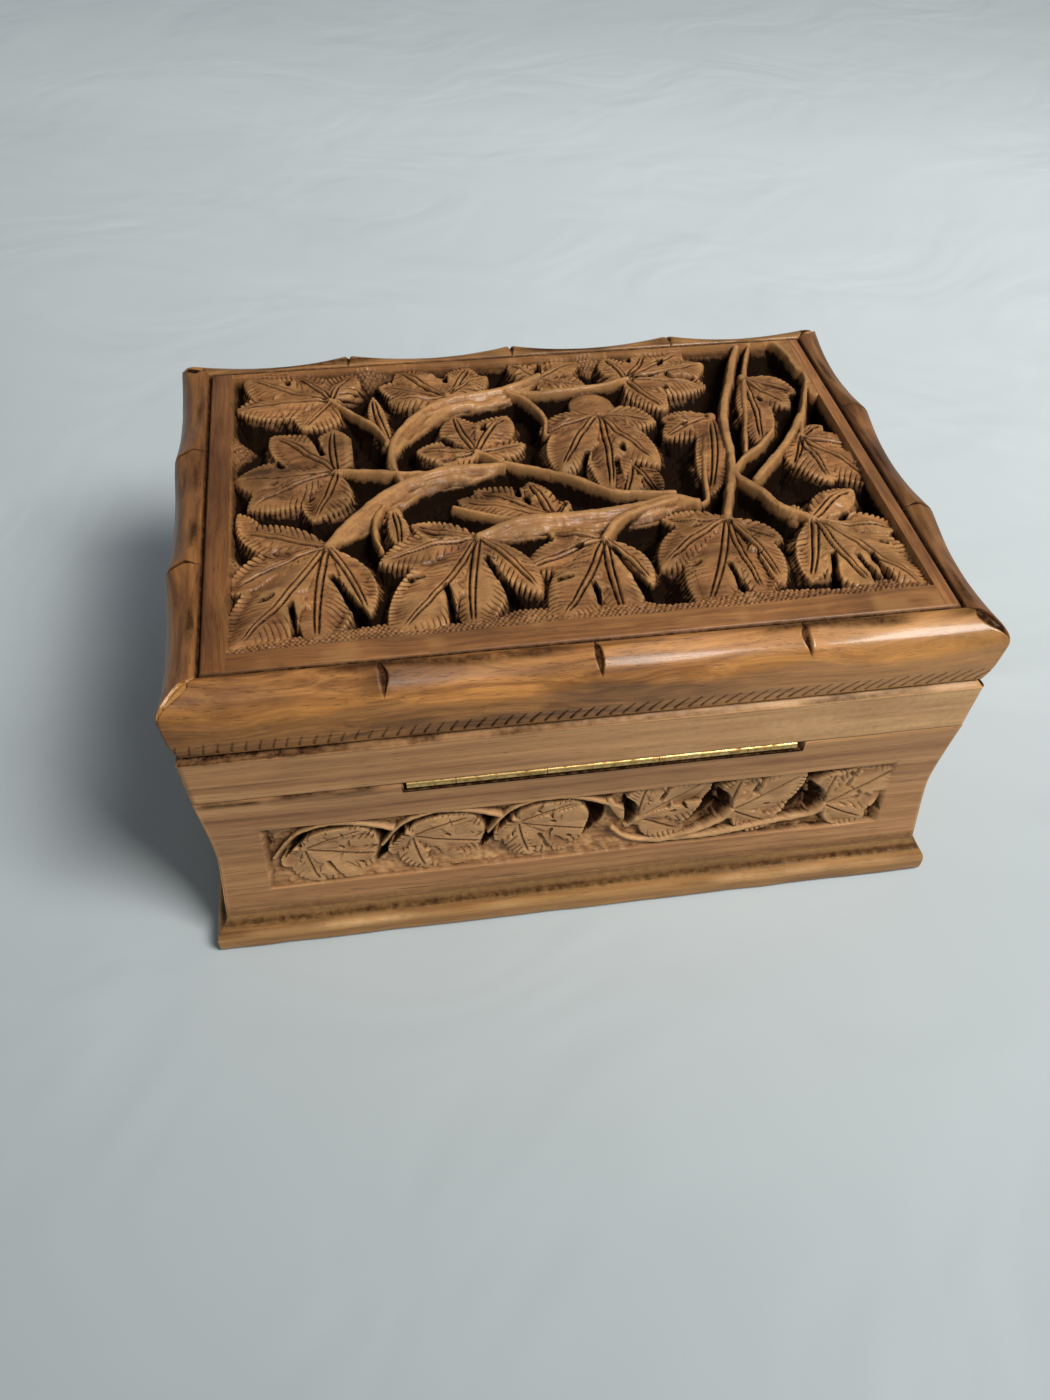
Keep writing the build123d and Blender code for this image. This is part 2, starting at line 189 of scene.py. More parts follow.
class Carving:
    """A carved field. along and across are the places of the grid, in millimetres from the field's own corner."""

    def __init__(self, along, across, ground, scale=1.0):
        self.along, self.across = along, across
        self.height = ground.copy()
        self.scale = scale
        self.scored, self.punched, self.bared, self.painted_tone = (np.zeros_like(ground) for _ in range(4))
        self.rough = (
            0.65 * soft(along, across, 2.8 * scale, 11) + 0.27 * soft(along, across, 1.2 * scale, 12)
            + 0.08 * soft(along, across, 0.5 * scale, 13)
        )

    def window(self, low, high):
        """Rows and columns of the grid that hold every place between two corners."""
        inside = (
            (self.along >= low[0]) & (self.along <= high[0]) & (self.across >= low[1]) & (self.across <= high[1])
        )
        rows, columns = np.where(inside.any(1))[0], np.where(inside.any(0))[0]
        if not len(rows) or not len(columns):
            return None
        return slice(rows[0], rows[-1] + 1), slice(columns[0], columns[-1] + 1)

    def wall(self, edge, fall, where):
        """How far the wood has fallen at a distance edge < 0 outside a form, on a wall left rough by the gouge."""
        away = np.clip(-edge, 0, None)
        return fall * away - 0.9 * self.scale * self.rough[where] * np.clip(away / (0.5 * self.scale), 0, 1)

    def keep(self, where, top, scored=0.0, bared=0.0, painted_tone=0.0):
        """Keeps the higher of the form and what stands there already, with the marks that go with it."""
        won = top > self.height[where]
        self.painted_tone[where] = np.where(won, painted_tone, self.painted_tone[where])
        self.scored[where] = np.where(won, scored, self.scored[where])
        self.bared[where] = np.where(won, bared, self.bared[where])
        self.punched[where] = np.where(won, 0, self.punched[where])
        self.height[where] = np.where(won, top, self.height[where])

    def leaf(self, base, tips, level=0.0, width=0.25, droop=1.0, cuts=(), flat=False, painted_tone=0.0):
        """A vine leaf: lobes from one base, a pair of veins up each, short hatching and teeth round the margin.
        cuts are drilled holes between lobes (start, end); a long one opens outwards into a wedge.
        A flat leaf is simpler: one vein to a lobe and hardly any teeth. A tip's third figure is its lobe's share of
        the usual width; 0 leaves the width and takes away the vein. The tone is painted light and shade over the whole
        leaf: -1 is painted shade, 1 a paler painted sheen."""
        k = self.scale
        stroke = 1.0 if flat else k  # strokes keep their size on the smaller leaves
        base = np.array(base, float)
        reach = np.array([base] + [np.array(t[:2], float) for t in tips])
        where = self.window(reach.min(0) - 5 * k, reach.max(0) + 5 * k)
        if where is None:
            return
        a, c = self.along[where] - base[0], self.across[where] - base[1]
        edge = 2.2 * k - np.hypot(a, c)
        line, count, share, bend, veins, lift, rib = (np.zeros_like(a) for _ in range(7))
        sway = 0.35 * soft(a, c, 6.0 * k, 16)
        for number, tip in enumerate(tips):
            axis = np.array(tip[:2], float) - base
            length = np.hypot(*axis)
            axis = axis / length
            run = a * axis[0] + c * axis[1]
            side = c * axis[0] - a * axis[1]
            s = np.clip(run / length, 0.001, 0.999)
            side = side - 0.03 * length * np.sin(math.pi * s) * (1 if number % 2 else -1)
            bent = np.abs(side)
            full = width * length / 0.308 * (tip[2] if len(tip) > 2 and tip[2] else 1)
            half = full * s ** 0.85 * (1 - s) ** 0.85
            slope = 0.85 * full * (s ** -0.15 * (1 - s) ** 0.85 - s ** 0.85 * (1 - s) ** -0.15)
            this = (half - bent) / np.sqrt(1 + np.minimum(slope ** 2, 4))
            beyond = np.clip(np.maximum(run - length, -run), 0, None)
            this = np.where(beyond > 0, -np.hypot(beyond, bent), this)
            won = this > edge
            phase = (run - 0.7 * bent) / (1.8 * stroke) + 0.3 * number + sway
            line = np.where(won, np.abs(phase - np.round(phase)), line)
            count = np.where(won, np.round(phase) + 7 * number + 3 * (side > 0), count)
            share, bend = np.where(won, s, share), np.where(won, bent, bend)
            tilt = 0.15 * math.sin(5.1 * number + base[0]) * side - 0.05 * bent
            tilt = tilt - (0.5 + 0.5 * math.sin(2.4 * number + base[1])) * k * np.clip(3 * s, 0, 1)
            lift = np.where(won, tilt, lift)
            edge = np.maximum(this, edge) + 0.2 * k * np.clip(1 - np.abs(this - edge) / (1.2 * k), 0, 1) ** 2
            apart = (0.30 + 1.35 * np.sqrt(s) * (1 - s)) * min(k, length / 19)
            drawn = np.clip((s - 0.02) / 0.04, 0, 1) * np.clip((0.90 - s) / 0.1, 0, 1) * (this > 0.1 * k)
            drawn = drawn * (len(tip) == 2 or tip[2] > 0)
            apart = 0 if flat else apart
            veins = np.maximum(veins, np.clip(1 - np.abs(bent - apart) / (0.40 * stroke), 0, 1) * drawn)
            rib = np.maximum(rib, np.clip(1 - bent / (apart + 1e-6), 0, 1) * drawn)
        uneven = 0.5 + 0.5 * np.sin(12.9 * count + 4.1 * base[0])
        taper = np.clip(1 - edge / ((1.8 + 2.8 * uneven) * k), 0, 1)
        hatch = np.clip(1.2 - 1.2 * line * 1.6 / (0.13 + 0.22 * taper), 0, 1) * np.clip(3 * taper, 0, 1)
        hatch = hatch * np.clip((bend - 1.5 * k) / (0.5 * k), 0, 1)
        hatch = hatch * np.clip(0.75 + 1.1 * soft(self.along[where], self.across[where], 9.0 * k, 24), 0, 1)
        toothed = edge - (0.25 if flat else 0.5) * k * np.clip(1 - 3.6 * line, 0, 1) * (0.4 + 0.8 * uneven)
        roll = np.clip(edge / (3.0 * k), 0, 1)
        x, y = self.along[where], self.across[where]
        facets = (0.3 if flat else 1.0) * k * (0.75 * soft(x, y, 6.5 * k, 14) + 0.25 * soft(x, y, 2.6 * k, 15))
        rounding = droop * k * (1.3 * (1 - roll) ** 2.2 + 0.8 * share ** 3)
        top = level - rounding + (lift + facets - 0.1 * k) * np.clip(edge, 0, 1)
        top = np.minimum(top, level + 0.1 * k) + 0.18 * k * rib - 0.4 * stroke * hatch - 0.85 * k * veins
        fallen = np.where(edge < 0, self.wall(edge, 3.8 if flat else 2.3, where), 0)
        top = top - np.clip(-4 * toothed, 0, 0.9 * k) - fallen
        pierced = np.zeros_like(a)
        for start, end in cuts:
            p, q = np.array(start, float), np.array(end, float)
            length = np.hypot(*(q - p))
            d = (q - p) / max(length, 1e-6)
            run = np.clip((x - p[0]) * d[0] + (y - p[1]) * d[1], 0, length + (5 * k if length > 6 * k else 0))
            away = np.hypot(x - p[0] - run * d[0], y - p[1] - run * d[1])
            depth = 9.0 * np.clip(0.8 * (k + stroke) / 2 - away, 0, None) * (run < 4.5 * k)
            if length > 6 * k:
                half = 0.45 * k + 0.09 * run
                depth = np.maximum(depth, (4.2 + 1.5 * self.rough[where]) * np.clip(half - away, 0, None))
            top = top - np.clip(depth, 0, 9)
            pierced = np.maximum(pierced, np.clip(depth / 2.5, 0, 1) * (run < 4.5 * k))
        scored = np.clip(np.maximum.reduce([1.5 * veins, 0.8 * hatch, 0.9 * pierced]), 0, 1) * (edge > -0.3)
        self.keep(where, top, scored, painted_tone=painted_tone)

    def gouge(self, points, half, depth):
        """A hollow along a smooth line, deepest in its middle and pointed at both ends."""
        line = hand_line(points, 1.2 * self.scale)
        where = self.window(line.min(0) - half, line.max(0) + half)
        if where is None:
            return
        a, c = self.along[where], self.across[where]
        inside = np.zeros_like(a)
        for number, (p, q) in enumerate(zip(line, line[1:])):
            d = q - p
            t = np.clip(((a - p[0]) * d[0] + (c - p[1]) * d[1]) / (d @ d), 0, 1)
            away = np.hypot(a - p[0] - t * d[0], c - p[1] - t * d[1])
            inside = np.maximum(inside, 1 - away / (half * math.sin(math.pi * (number + 0.7) / (len(line) + 0.4))))
        cut = depth * inside ** 0.6 * (1 + 0.25 * self.rough[where])
        self.height[where] = self.height[where] - cut
        self.scored[where] = np.maximum(self.scored[where], np.clip(cut / 1.2, 0, 1))

    def stem(self, points, half, level=0.0, taper=(1.0, 1.0), fall=4.0, crown=0.3, skirt=0.0):
        """A vine stem: a flat ridge along a smooth line. A thick one has a rough skirt towards the hinge side."""
        k = self.scale
        line = hand_line(points, 1.6 * k)
        widths = np.interp(np.linspace(0, 1, len(line)), [0, 0.5, 1], [taper[0], 1.0, taper[1]]) * half
        reach = half + skirt + 3.0 * k
        where = self.window(line.min(0) - reach, line.max(0) + reach)
        if where is None:
            return
        a, c = self.along[where], self.across[where]
        edge, lean, run = np.full_like(a, -99.0), np.zeros_like(a), np.zeros_like(a)
        for number, (p, q, w) in enumerate(zip(line, line[1:], widths)):
            near = (np.abs(a - (p[0] + q[0]) / 2) < reach + 2) & (np.abs(c - (p[1] + q[1]) / 2) < reach + 2)
            if not near.any():
                continue
            d = q - p
            t = np.clip(((a[near] - p[0]) * d[0] + (c[near] - p[1]) * d[1]) / (d @ d), 0, 1)
            off_a, off_c = a[near] - p[0] - t * d[0], c[near] - p[1] - t * d[1]
            away = np.hypot(off_a, off_c)
            better = w - away > edge[near]
            edge[near] = np.where(better, w - away, edge[near])
            lean[near] = np.where(better, off_c / (away + 0.2), lean[near])
            run[near] = np.where(better, number + t, run[near])
        edge = edge + 0.22 * k * soft(a, c, 3.2 * k, 17)
        far = np.clip(1 - edge / half, 0, 1)
        ends = np.clip(np.minimum(run, len(line) - 1 - run) / (3.5 + 0.15 * len(line)), 0, 1)
        side = skirt * np.clip(1.6 * lean, 0, 1) * np.sin(math.pi / 2 * ends)
        out = np.clip(-edge, 0, None)
        gentle = np.minimum(out, side)
        rough = self.rough[where]
        strokes = 0.30 * soft(run, out * 4, 3.0, 19) + 0.15 * rough
        drop = 0.62 * gentle + 0.35 * np.clip(2 * gentle, 0, 1) - 1.8 * strokes * np.clip(gentle, 0, 1)
        drop = drop + self.wall(side - out, fall, where) * (out > side)
        top = level - crown * k * np.minimum(far, 1) ** 2
        top = top + 0.14 * k * soft(a, c, 2.4 * k, 18) + 0.07 * k * soft(a, c, 0.9 * k, 20) - drop
        self.keep(where, top, bared=np.clip(gentle, 0, 1) * (out < side + 0.2) * np.clip(0.7 + 2.5 * strokes, 0, 1))

    def marks(self, step):
        """Dirt and painted shade in the cuts, crevices and deep pockets, and the rub on the ridges with a painted sheen
        where a leaf is given a pale tone, both from 0 to 1.
        """
        small = blurred(self.height, 0.6 * self.scale / step)
        wide = blurred(self.height, 2.4 * self.scale / step)
        # dirt and painted shade: darker in the crevices, on the steep walls and most of all in the deep ground, as the
        # shade in the pockets
        hollow = np.clip((small - self.height) / (0.45 * self.scale), 0, 1)
        deep = np.clip((-self.height - 2.0 * self.scale) / (3.4 * self.scale), 0, 1)
        down, along = np.gradient(small, step)
        steep = np.clip((np.hypot(down, along) - 0.9) / 2.2, 0, 1)
        deep = deep * (1 - 0.55 * self.punched)
        grime = np.clip(0.6 * hollow + 0.9 * deep + self.scored + 0.45 * steep + 0.45 * (self.punched > 0), 0, 1)
        grime = grime * (1 - 0.35 * self.punched) * (1 - 0.5 * self.bared)
        dusky = 0.30 * np.clip(soft(self.along, self.across, 7.0 * self.scale, 22) + 0.3, 0, 1)
        # random dusky patches; a leaf with a tone below 0 gets painted shade, and the deep ground more painted shade on
        # top
        grime = np.maximum(grime, dusky + 0.35 * np.clip(-self.painted_tone, 0, 1)) + 0.45 * deep
        worn = np.clip((self.height - wide) / (0.9 * self.scale), 0, 1) * (1 - deep) * (1 - 0.6 * (self.punched > 0))
        # random paler golden patches, and a painted sheen on a leaf with a tone above 0
        golden = 0.5 * np.clip(soft(self.along, self.across, 5.0 * self.scale, 23) - 0.1 + self.painted_tone, 0, 1) * (1 - deep)
        return grime, np.maximum(np.maximum(0.6 * worn, golden), 0.48 * self.bared)


# ---- layout of the lid's vine, from the groove's far corner; along runs towards -X, across towards the hinge ----

# base, lobe tips, height of the leaf, its tone (below 0 painted shade, above 0 painted sheen), and the drilled holes
# between lobes (start, end of the slit)
LID_LEAVES = [
    ((35.3, 17.6), [(9.5, 1.2), (25.5, 0.5), (42.3, 1.5, 1.2), (7.3, 17.8), (26.5, 30.8, 1.5)], -0.1, -0.1,
     [((22.8, 4.5), (23, 7.5))]),
    ((69.8, 18.7), [(56, 0.5), (50, 9, 1.1), (52, 18.5), (78.5, 0.5), (83.5, 7, 1.1)], -0.4, -0.2,
     [((70.5, 6.5), (70.3, 9.5))]),
    ((98.8, 11.5), [(91, 0.8), (100.5, 0.5, 1.3), (112.8, 2), (112.8, 15.5, 1.2), (101, 19.5, 0)], -0.4, 0.2,
     [((99.2, 4.5), (99.2, 7.5))]),
    ((125.5, 16.5), [(121.5, 0.8), (134.5, 0.5), (146.5, 1.0), (152, 9), (149.5, 21.2, 1.2), (134.5, 33)], -0.1, 0.3,
     [((138.7, 5), (137.7, 8.5)), ((136, 22), (136.4, 23.6)), ((128.8, 2.5), (128.4, 5))]),
    ((35.3, 54.9), [(7, 54.3, 1.15), (17.5, 32.8), (35.3, 31.2), (10.8, 67.6), (28, 74.6, 1.1)], -0.1, -0.8,
     [((20.6, 50), (18, 45.2)), ((31.8, 45.6), (30.4, 39.5)), ((18.6, 58.4), (17.9, 58.8))]),
    ((74.8, 49.8), [(70.3, 28.3), (58, 45.2, 1.1), (86.5, 29.8), (89.7, 45.3, 1.1), (63.5, 52)], -0.4, -0.1,
     [((68.3, 43.2), (65.8, 40.6)), ((78, 39.6), (79, 34.5))]),
    ((118, 56), [(112.5, 74.5), (123.5, 72.5)], -1.8, -0.3, []),
    ((113.2, 34.3), [(94.5, 40.7, 1.1), (97, 62.5, 0.9), (109, 74, 0.55), (125.5, 61.5, 0.75), (129.6, 39.2, 1.2)],
     0.0, 0.2, [((106, 54.3), (102.3, 64)), ((116.3, 51.8), (116.5, 54)), ((114, 57), (113, 65))]),
    ((146, 39), [(131.5, 37), (130, 47, 1.1), (136.5, 76, 0.5)], -0.7, -0.2, [((137.5, 42), (136.5, 42.5))]),
    ((92, 81), [(67, 69.2), (72, 65.2), (87.5, 63.2), (97, 73.2)], -1.0, -0.3,
     [((84, 70.2), (83.5, 65.2)), ((86, 73.7), (85.5, 71.2))]),
    ((31.5, 88), [(8, 76.5), (5.5, 101.5), (6.5, 125.5), (27.5, 126), (40.5, 115, 0.8)], -0.1, -0.1,
     [((21.6, 109.5), (23, 123.5)), ((31.8, 99.5), (38.5, 114.5)), ((17, 105.8), (14, 107))]),
    ((70.5, 89), [(53.5, 80, 0.9), (44, 95), (45.5, 124.5), (65, 125), (83.5, 113, 0.75)], 0.0, 0.4,
     [((54.5, 102), (51.5, 102.5)), ((60, 107), (61, 123)), ((71.2, 98), (77.5, 115.5)), ((60.5, 88.5), (58, 87.5))]),
    ((103, 93.8), [(89, 88), (80.5, 103), (85.5, 125.5), (102.5, 126), (112, 112.5, 0.85)], 0.0, -0.1,
     [((96.3, 95.8), (95, 96)), ((91.3, 108.9), (88, 109.5)), ((96.6, 111.1), (98, 123.5)),
      ((104, 97.5), (109.5, 113.5))]),
    ((137, 89.5), [(120, 86), (115, 107), (122.5, 124.5), (139.5, 120.5), (145, 116.5, 0.8), (150, 98.5)], 0.0, -0.5,
     [((129, 91.1), (127.5, 91.8)), ((125, 106.4), (123.5, 107.5)), ((132.8, 108.1), (134.5, 119.5)),
      ((141.7, 97.2), (143, 98))]),
    ((160, 92.5), [(176, 79.5), (182.5, 97.5), (180.5, 125.5), (167, 122.5), (152, 116.5, 0.8)], 0.0, 0.8,
     [((170, 90.4), (168.5, 92)), ((174.8, 104.4), (176, 104.8)), ((170.5, 108.5), (171.5, 119.5)),
      ((160.5, 107.5), (157.5, 120.5)), ((166.6, 109.1), (168.4, 118.5))]),
    ((169.3, 53.8), [(178, 47, 0.9), (184.5, 58, 1.1), (183.5, 77.5), (171.5, 75.5), (163.3, 66.5)], -0.3, 0.3, []),
    ((161.5, 19.5), [(176.5, 27), (172, 35.5, 1.1), (157, 56, 0.5)], -0.7, 0.0, [((163.2, 29.6), (163.7, 31))]),
]

LID_STEMS = [
    # thick trunks
    (2.0, 0.0, [(31.5, 88), (36, 80.5), (44, 71), (52.5, 63.5), (60, 59.2), (68, 57.5), (81, 57.8)]),
    (1.7, 0.0, [(53, 62.7), (51, 53.5), (51, 47), (53, 39.5), (58, 31.5), (63.5, 25.5), (70.5, 21.5), (79, 19.7),
                (88, 17.6), (98.8, 11.5)]),
    (2.0, 0.1, [(70.5, 89), (79, 84.5), (84, 83), (99, 83), (114.5, 81.5), (124, 78.5), (131, 81.5)]),
    # branches
    (1.4, 0.1, [(164, 2.5), (160, 12), (156, 23), (151.5, 34), (148.3, 46), (146, 62), (142.5, 74), (137, 89.5)]),
    (0.9, -1.4, [(146, 39), (142, 49.5), (138.5, 61), (136, 72), (134.5, 79.5), (130, 82)]),
    (1.3, 0.0, [(172, 43.5), (168, 50.5), (163, 57.5), (156.5, 65.5), (150, 73)]),
    (1.4, 0.0, [(145, 67), (145.5, 72), (150, 79), (153, 86.5), (160, 92.5)]),
    (1.4, 0.1, [(103, 93.8), (108.5, 86.5), (116, 82.5), (125, 79.5)]),
    # tendrils and leaf stalks
    (1.0, -0.2, [(74.8, 50), (78.5, 53), (82, 56.5), (90, 60.5), (99, 65.5), (107.5, 72.5), (112, 74.5), (126, 76.5)]),
    (0.9, -0.4, [(87, 19), (91.5, 22.5), (95, 28.5), (96.8, 35.5), (95.8, 42)]),
    (1.0, 0.0, [(88, 19.5), (96, 21.5), (103, 21.3), (112, 20.3), (119, 19), (125.5, 16.5)]),
    (0.9, -0.2, [(35.5, 18.5), (42.5, 27.5), (47.3, 33.5), (50.5, 42)]),
    (1.0, 0.0, [(36, 54.9), (44, 56.2), (52, 58), (60, 59)]),
    (0.9, -0.9, [(168.8, 0.5), (164, 12.5), (160, 26), (157, 38), (153.5, 50), (150.5, 61), (146, 68)]),
    (1.0, -0.2, [(161.5, 50), (156, 57), (150, 62), (146, 66.5)]),
    (0.9, 0.0, [(182, 19.5), (178, 30), (173.5, 41.5), (170, 46.5)]),
    (0.8, -0.2, [(174, 41), (171.5, 47), (169.3, 53.8)]),
    (0.8, -0.5, [(65.5, 75), (72.5, 79), (82, 82.5), (95, 83)]),
    (0.9, -0.6, [(47, 72), (44.5, 78), (44, 85), (45, 90)]),
]

# wood left uncut in the far right corner: half width, line
LID_FLATS = [
    (4.2, [(174, -5), (180, 0), (182.4, 8), (182.8, 17)]),
    (1.6, [(181.8, 16), (181.3, 24), (180.2, 32)]),
    (1.4, [(185.6, 10), (185.9, 30), (186.4, 50), (187, 70)]),
]

# small unopened leaves: pointed end (with a 0 where there is no vein), stalk end, half width
LID_BUDS = [
    ((8.5, 69, 0), (16, 84), 3.0), ((47.8, 15), (51, 42), 2.5), ((50, 89), (49.5, 74), 2.7),
    ((156.5, 84), (156.5, 89.5), 2.4),
]

FIELD_LEFT, FIELD_FAR = 6.4, 1.0
field_right = groove_x - panel_left
bead_pitch = 1.35


def near_border(along):
    """Where the field ends towards the hinge: cut by hand, so not quite straight."""
    return 126.3 - 0.011 * along + 0.5 * soft(along, along * 0, 9.0, 21)


def beads(along, across, pitch):
    """Round dots that a ring punch leaves, in uneven staggered rows, from 0 to 1."""
    row = np.round(across / (0.87 * pitch)).astype(int)
    place = along / pitch + np.where(row % 2 == 0, 0.0, 0.5)
    column = np.round(place).astype(int)
    chance = np.random.default_rng(36).random((64, 64, 3))[row % 64, column % 64] - 0.5
    off_x = (place - column + 0.22 * chance[..., 0]) * pitch
    off_y = across - (row * 0.87 + 0.22 * chance[..., 1]) * pitch
    radius = (0.47 + 0.14 * chance[..., 2]) * pitch
    return np.sqrt(np.clip(1 - (off_x ** 2 + off_y ** 2) / radius ** 2, 0, 1)) * (0.85 + 0.4 * chance[..., 2])


def lid_ground(along, across):
    """The sunk ground of the lid: deep between the stems, rising in punched slopes to the near border and here and
    there to the others."""
    rough = 0.5 * soft(along, across, 3.1, 31) + 0.35 * soft(along, across, 1.1, 32)
    rough = rough + 0.2 * soft(along, across, 0.5, 33)
    deep = -8.0 + 1.2 * rough
    near = near_border(along) - across
    shelf_depth = 5.5 + 3.5 * soft(along, across, 13.0, 37)  # how far the punched shelf reaches in before it drops
    near_slope = -0.9 - 0.28 * near - 1.6 * np.clip(near - np.clip(shelf_depth, 2.5, 9), 0, None)
    left = along - FIELD_LEFT
    shelf = np.exp(-((across - 38) / 7) ** 2) + 0.8 * np.exp(-((across - 91) / 4) ** 2)
    left_slope = -3.2 - 1.6 * left + shelf * (2.0 + 1.0 * left)
    far = across - FIELD_FAR
    shelf = np.exp(-((along - 47) / 6) ** 2) + np.exp(-((along - 115) / 5) ** 2)
    far_slope = -3.0 - 1.6 * far + shelf * (1.8 + 1.1 * far)
    right = field_right - along
    shelf = np.exp(-((across - 68) / 8) ** 2) + 0.9 * np.exp(-((across - 110) / 9) ** 2)
    right_slope = -7.0 - 1.5 * right + shelf * (5.6 + 0.9 * right)
    slope = np.maximum.reduce([near_slope, left_slope, far_slope, right_slope])
    sloping = np.clip((slope + 6.0) / 1.5, 0, 1)
    wander_x = along + 0.35 * soft(along, across, 4.0, 34)
    wander_y = across + 0.35 * soft(along, across, 4.0, 35)
    punched = 0.85 * beads(wander_x, wander_y, bead_pitch) * sloping
    return np.maximum(deep, slope + 0.25 * rough) + punched, sloping


def carve_lid(along, across, step):
    """Height of the lid's top over the whole panel, its border at 0."""
    ground, punched = lid_ground(along, across)
    carving = Carving(along, across, ground)
    carving.punched = punched
    for half, level, points in LID_STEMS:
        thin = (0.75, 0.55) if half < 1.15 else (0.85, 0.8)
        trunk = half > 1.6
        carving.stem(points, half * (0.5 if trunk else 0.75), level, thin, skirt=4.6 if trunk else 0.0)
    carving.stem([(112.3, 27), (113, 32)], 6.8, -1.1, (0.97, 0.6), fall=3.0, crown=1.8)  # the husk over a leaf
    for tip, stalk, half in LID_BUDS:
        carving.leaf(stalk, [tip], -0.8, width=half / math.dist(tip[:2], stalk), droop=0.6)
    for base, tips, level, painted_tone, holes in LID_LEAVES:
        carving.leaf(base, tips, level, width=0.28 if base[1] < 60 else 0.24, cuts=holes, painted_tone=painted_tone)
    for half, points in LID_FLATS:
        carving.stem(points, half, 0.0, crown=0.0)
    outside = np.maximum.reduce([
        FIELD_LEFT - along, along - field_right, FIELD_FAR - across, across - near_border(along),
    ])
    everywhere = (slice(None), slice(None))
    border = np.where(outside >= 0, 0.0, -0.15 - carving.wall(outside, 4.5, everywhere))
    beaded = (across > 100) & (outside < 0)
    border = np.where(beaded, -99.0, border)
    border = border - 0.12 * np.clip(1 - np.abs(outside) / 0.5, 0, 1)
    carving.height = np.where(outside >= 0, border, np.maximum(carving.height, border))
    grime, worn = carving.marks(step)
    inside = np.clip(-outside / 0.6, 0, 1)
    carved = np.clip(-outside / 0.4 + 0.5, 0, 1)
    surface = carving.height + carved * (0.05 * soft(along, across, 1.5, 41) + 0.03 * soft(along, across, 0.6, 42))
    surface = surface + (1 - carved) * 0.08 * soft(along / 4, across, 5.0, 43)
    return surface, np.maximum(grime * inside, 0.35 * grime), worn, 1 - carved


def v_groove(x, y):
    """Depth of the V cut on the line between the rim and the lid's top."""
    away = np.minimum(groove_x - np.abs(x), groove_y - np.abs(y))
    return 1.3 * np.clip(1 - away / 0.8, 0, 1)


def lid_block(name, x_low, x_high, step, carved):
    """One length of the lid's top between two places along X, with upright sides and a flat underside."""
    columns = max(2, int(round((x_high - x_low) / step)))
    rows = int(round(2 * groove_y / step))
    x, y = np.meshgrid(np.linspace(x_low, x_high, columns + 1), np.linspace(-groove_y, groove_y, rows + 1))
    along, across = groove_x - x, y + groove_y
    if carved:
        guard = 20
        wide_x = np.linspace(x_low - guard * step, x_high + guard * step, columns + 1 + 2 * guard)
        wide_x, wide_y = np.meshgrid(wide_x, y[:, 0])
        height, grime, worn, handled = (
            part[:, guard:-guard] for part in carve_lid(groove_x - wide_x, wide_y + groove_y, step)
        )
    else:
        height = 0.08 * soft(along, across / 4, 5.0, 44)
        grime, worn, handled = np.zeros_like(x), np.zeros_like(x), np.ones_like(x)
    groove = v_groove(x, y)
    z = border_top + height - groove
    # dirt and painted shade in the V-groove
    grime = np.maximum(grime, np.clip(groove / 0.8, 0, 1))
    # painted light and shade on the border, over a darker tone: darker towards +X, away from the lamp, and paler
    # towards -X, most at the far -X corner as a painted sheen
    minus_x, near = np.clip(-x / 80, 0, 1), np.clip((y + 30) / 80, 0, 1)
    darker = 0.3 + 0.55 * np.clip((x - 60) / 40, 0, 1) + minus_x * (0.3 * near - 0.4)
    handled = handled * darker * (1 + 0.3 * soft(x, y, 17.0, 45))
    points = np.pad(np.dstack([x, y, z]), ((1, 1), (1, 1), (0, 0)), mode="edge")
    for edge in (points[0], points[-1], points[:, 0], points[:, -1]):
        edge[:, 2] = rail_top
    # no marks of dirt, wear or painted light and shade on the upright sides' foot, so that the flat underside stays
    # clean
    marks = {key: np.pad(part, 1) for key, part in {"grime": grime, "worn": worn, "handled": handled}.items()}
    piece = sheet_of(name, points, **marks)
    return closed_up(piece, 89)


# ---- mouldings: an outline swept along each side, its ends mitred ----

def moulding(name, side, outline, step, cut=None):
    """A mitred length on one side. outline is closed (out, z); cut moves its surface and gives its marks."""
    half_span, half_run, turn = SIDES[side]
    count = int(round(2 * half_run / step))
    share = np.linspace(-1, 1, count + 1)
    out, z = (np.array(part, float)[:, None] + 0 * share for part in zip(*outline))
    x = share * (half_run + out)
    marks = {}
    if cut:
        out, z, grime, worn, dull = cut(side, x, out, z)
        marks = {"grime": grime, "worn": worn, "dull": dull}
    x = share * (half_run + out)
    y = half_span + out
    angle = math.radians(turn)
    points = np.dstack([x * math.cos(angle) - y * math.sin(angle), x * math.sin(angle) + y * math.cos(angle), z])
    return closed_up(sheet_of(name, points, **marks))


def softened(x, out, half_run, away=0.5, depth=0.35):
    """How far the surface is rubbed back at the mitred corners."""
    corner = half_run + out - np.abs(x)
    return depth * np.clip(1 - corner / away, 0, 1) ** 2


# ---- walls ----

waist_in, waist_z, foot_in = 2.7, base_top + 23.5, 1.4
panel_end, panel_low, panel_high = 14.4, seam - 39.0, seam - 14.0

# lobes and drilled holes of the two kinds of leaf on the walls, from the leaf's base
ARCHED_LEAF = [(17, -6.2), (21, 5.5), (13.5, 13, 0), (3.5, 14), (-6.5, 6.5, 0), (8.5, -10, 0), (20, 0, 0)]
ARCHED_HOLES = [((9.2, 0.6), (9.6, 1.0)), ((5.8, 6.2), (8.6, 12.6)), ((13.8, 7.6), (14.2, 7.9))]
RISING_LEAF = [(2, -13.5), (19.5, -14), (19, -2.5, 0), (13.5, 7.5), (-3.5, 4, 0), (10.5, -14, 0)]
RISING_HOLES = [((9.4, -1.0), (10.0, -1.2)), ((5.9, -6.5), (8.3, -13.5)), ((-1.3, 3.8), (-0.9, 3.9))]


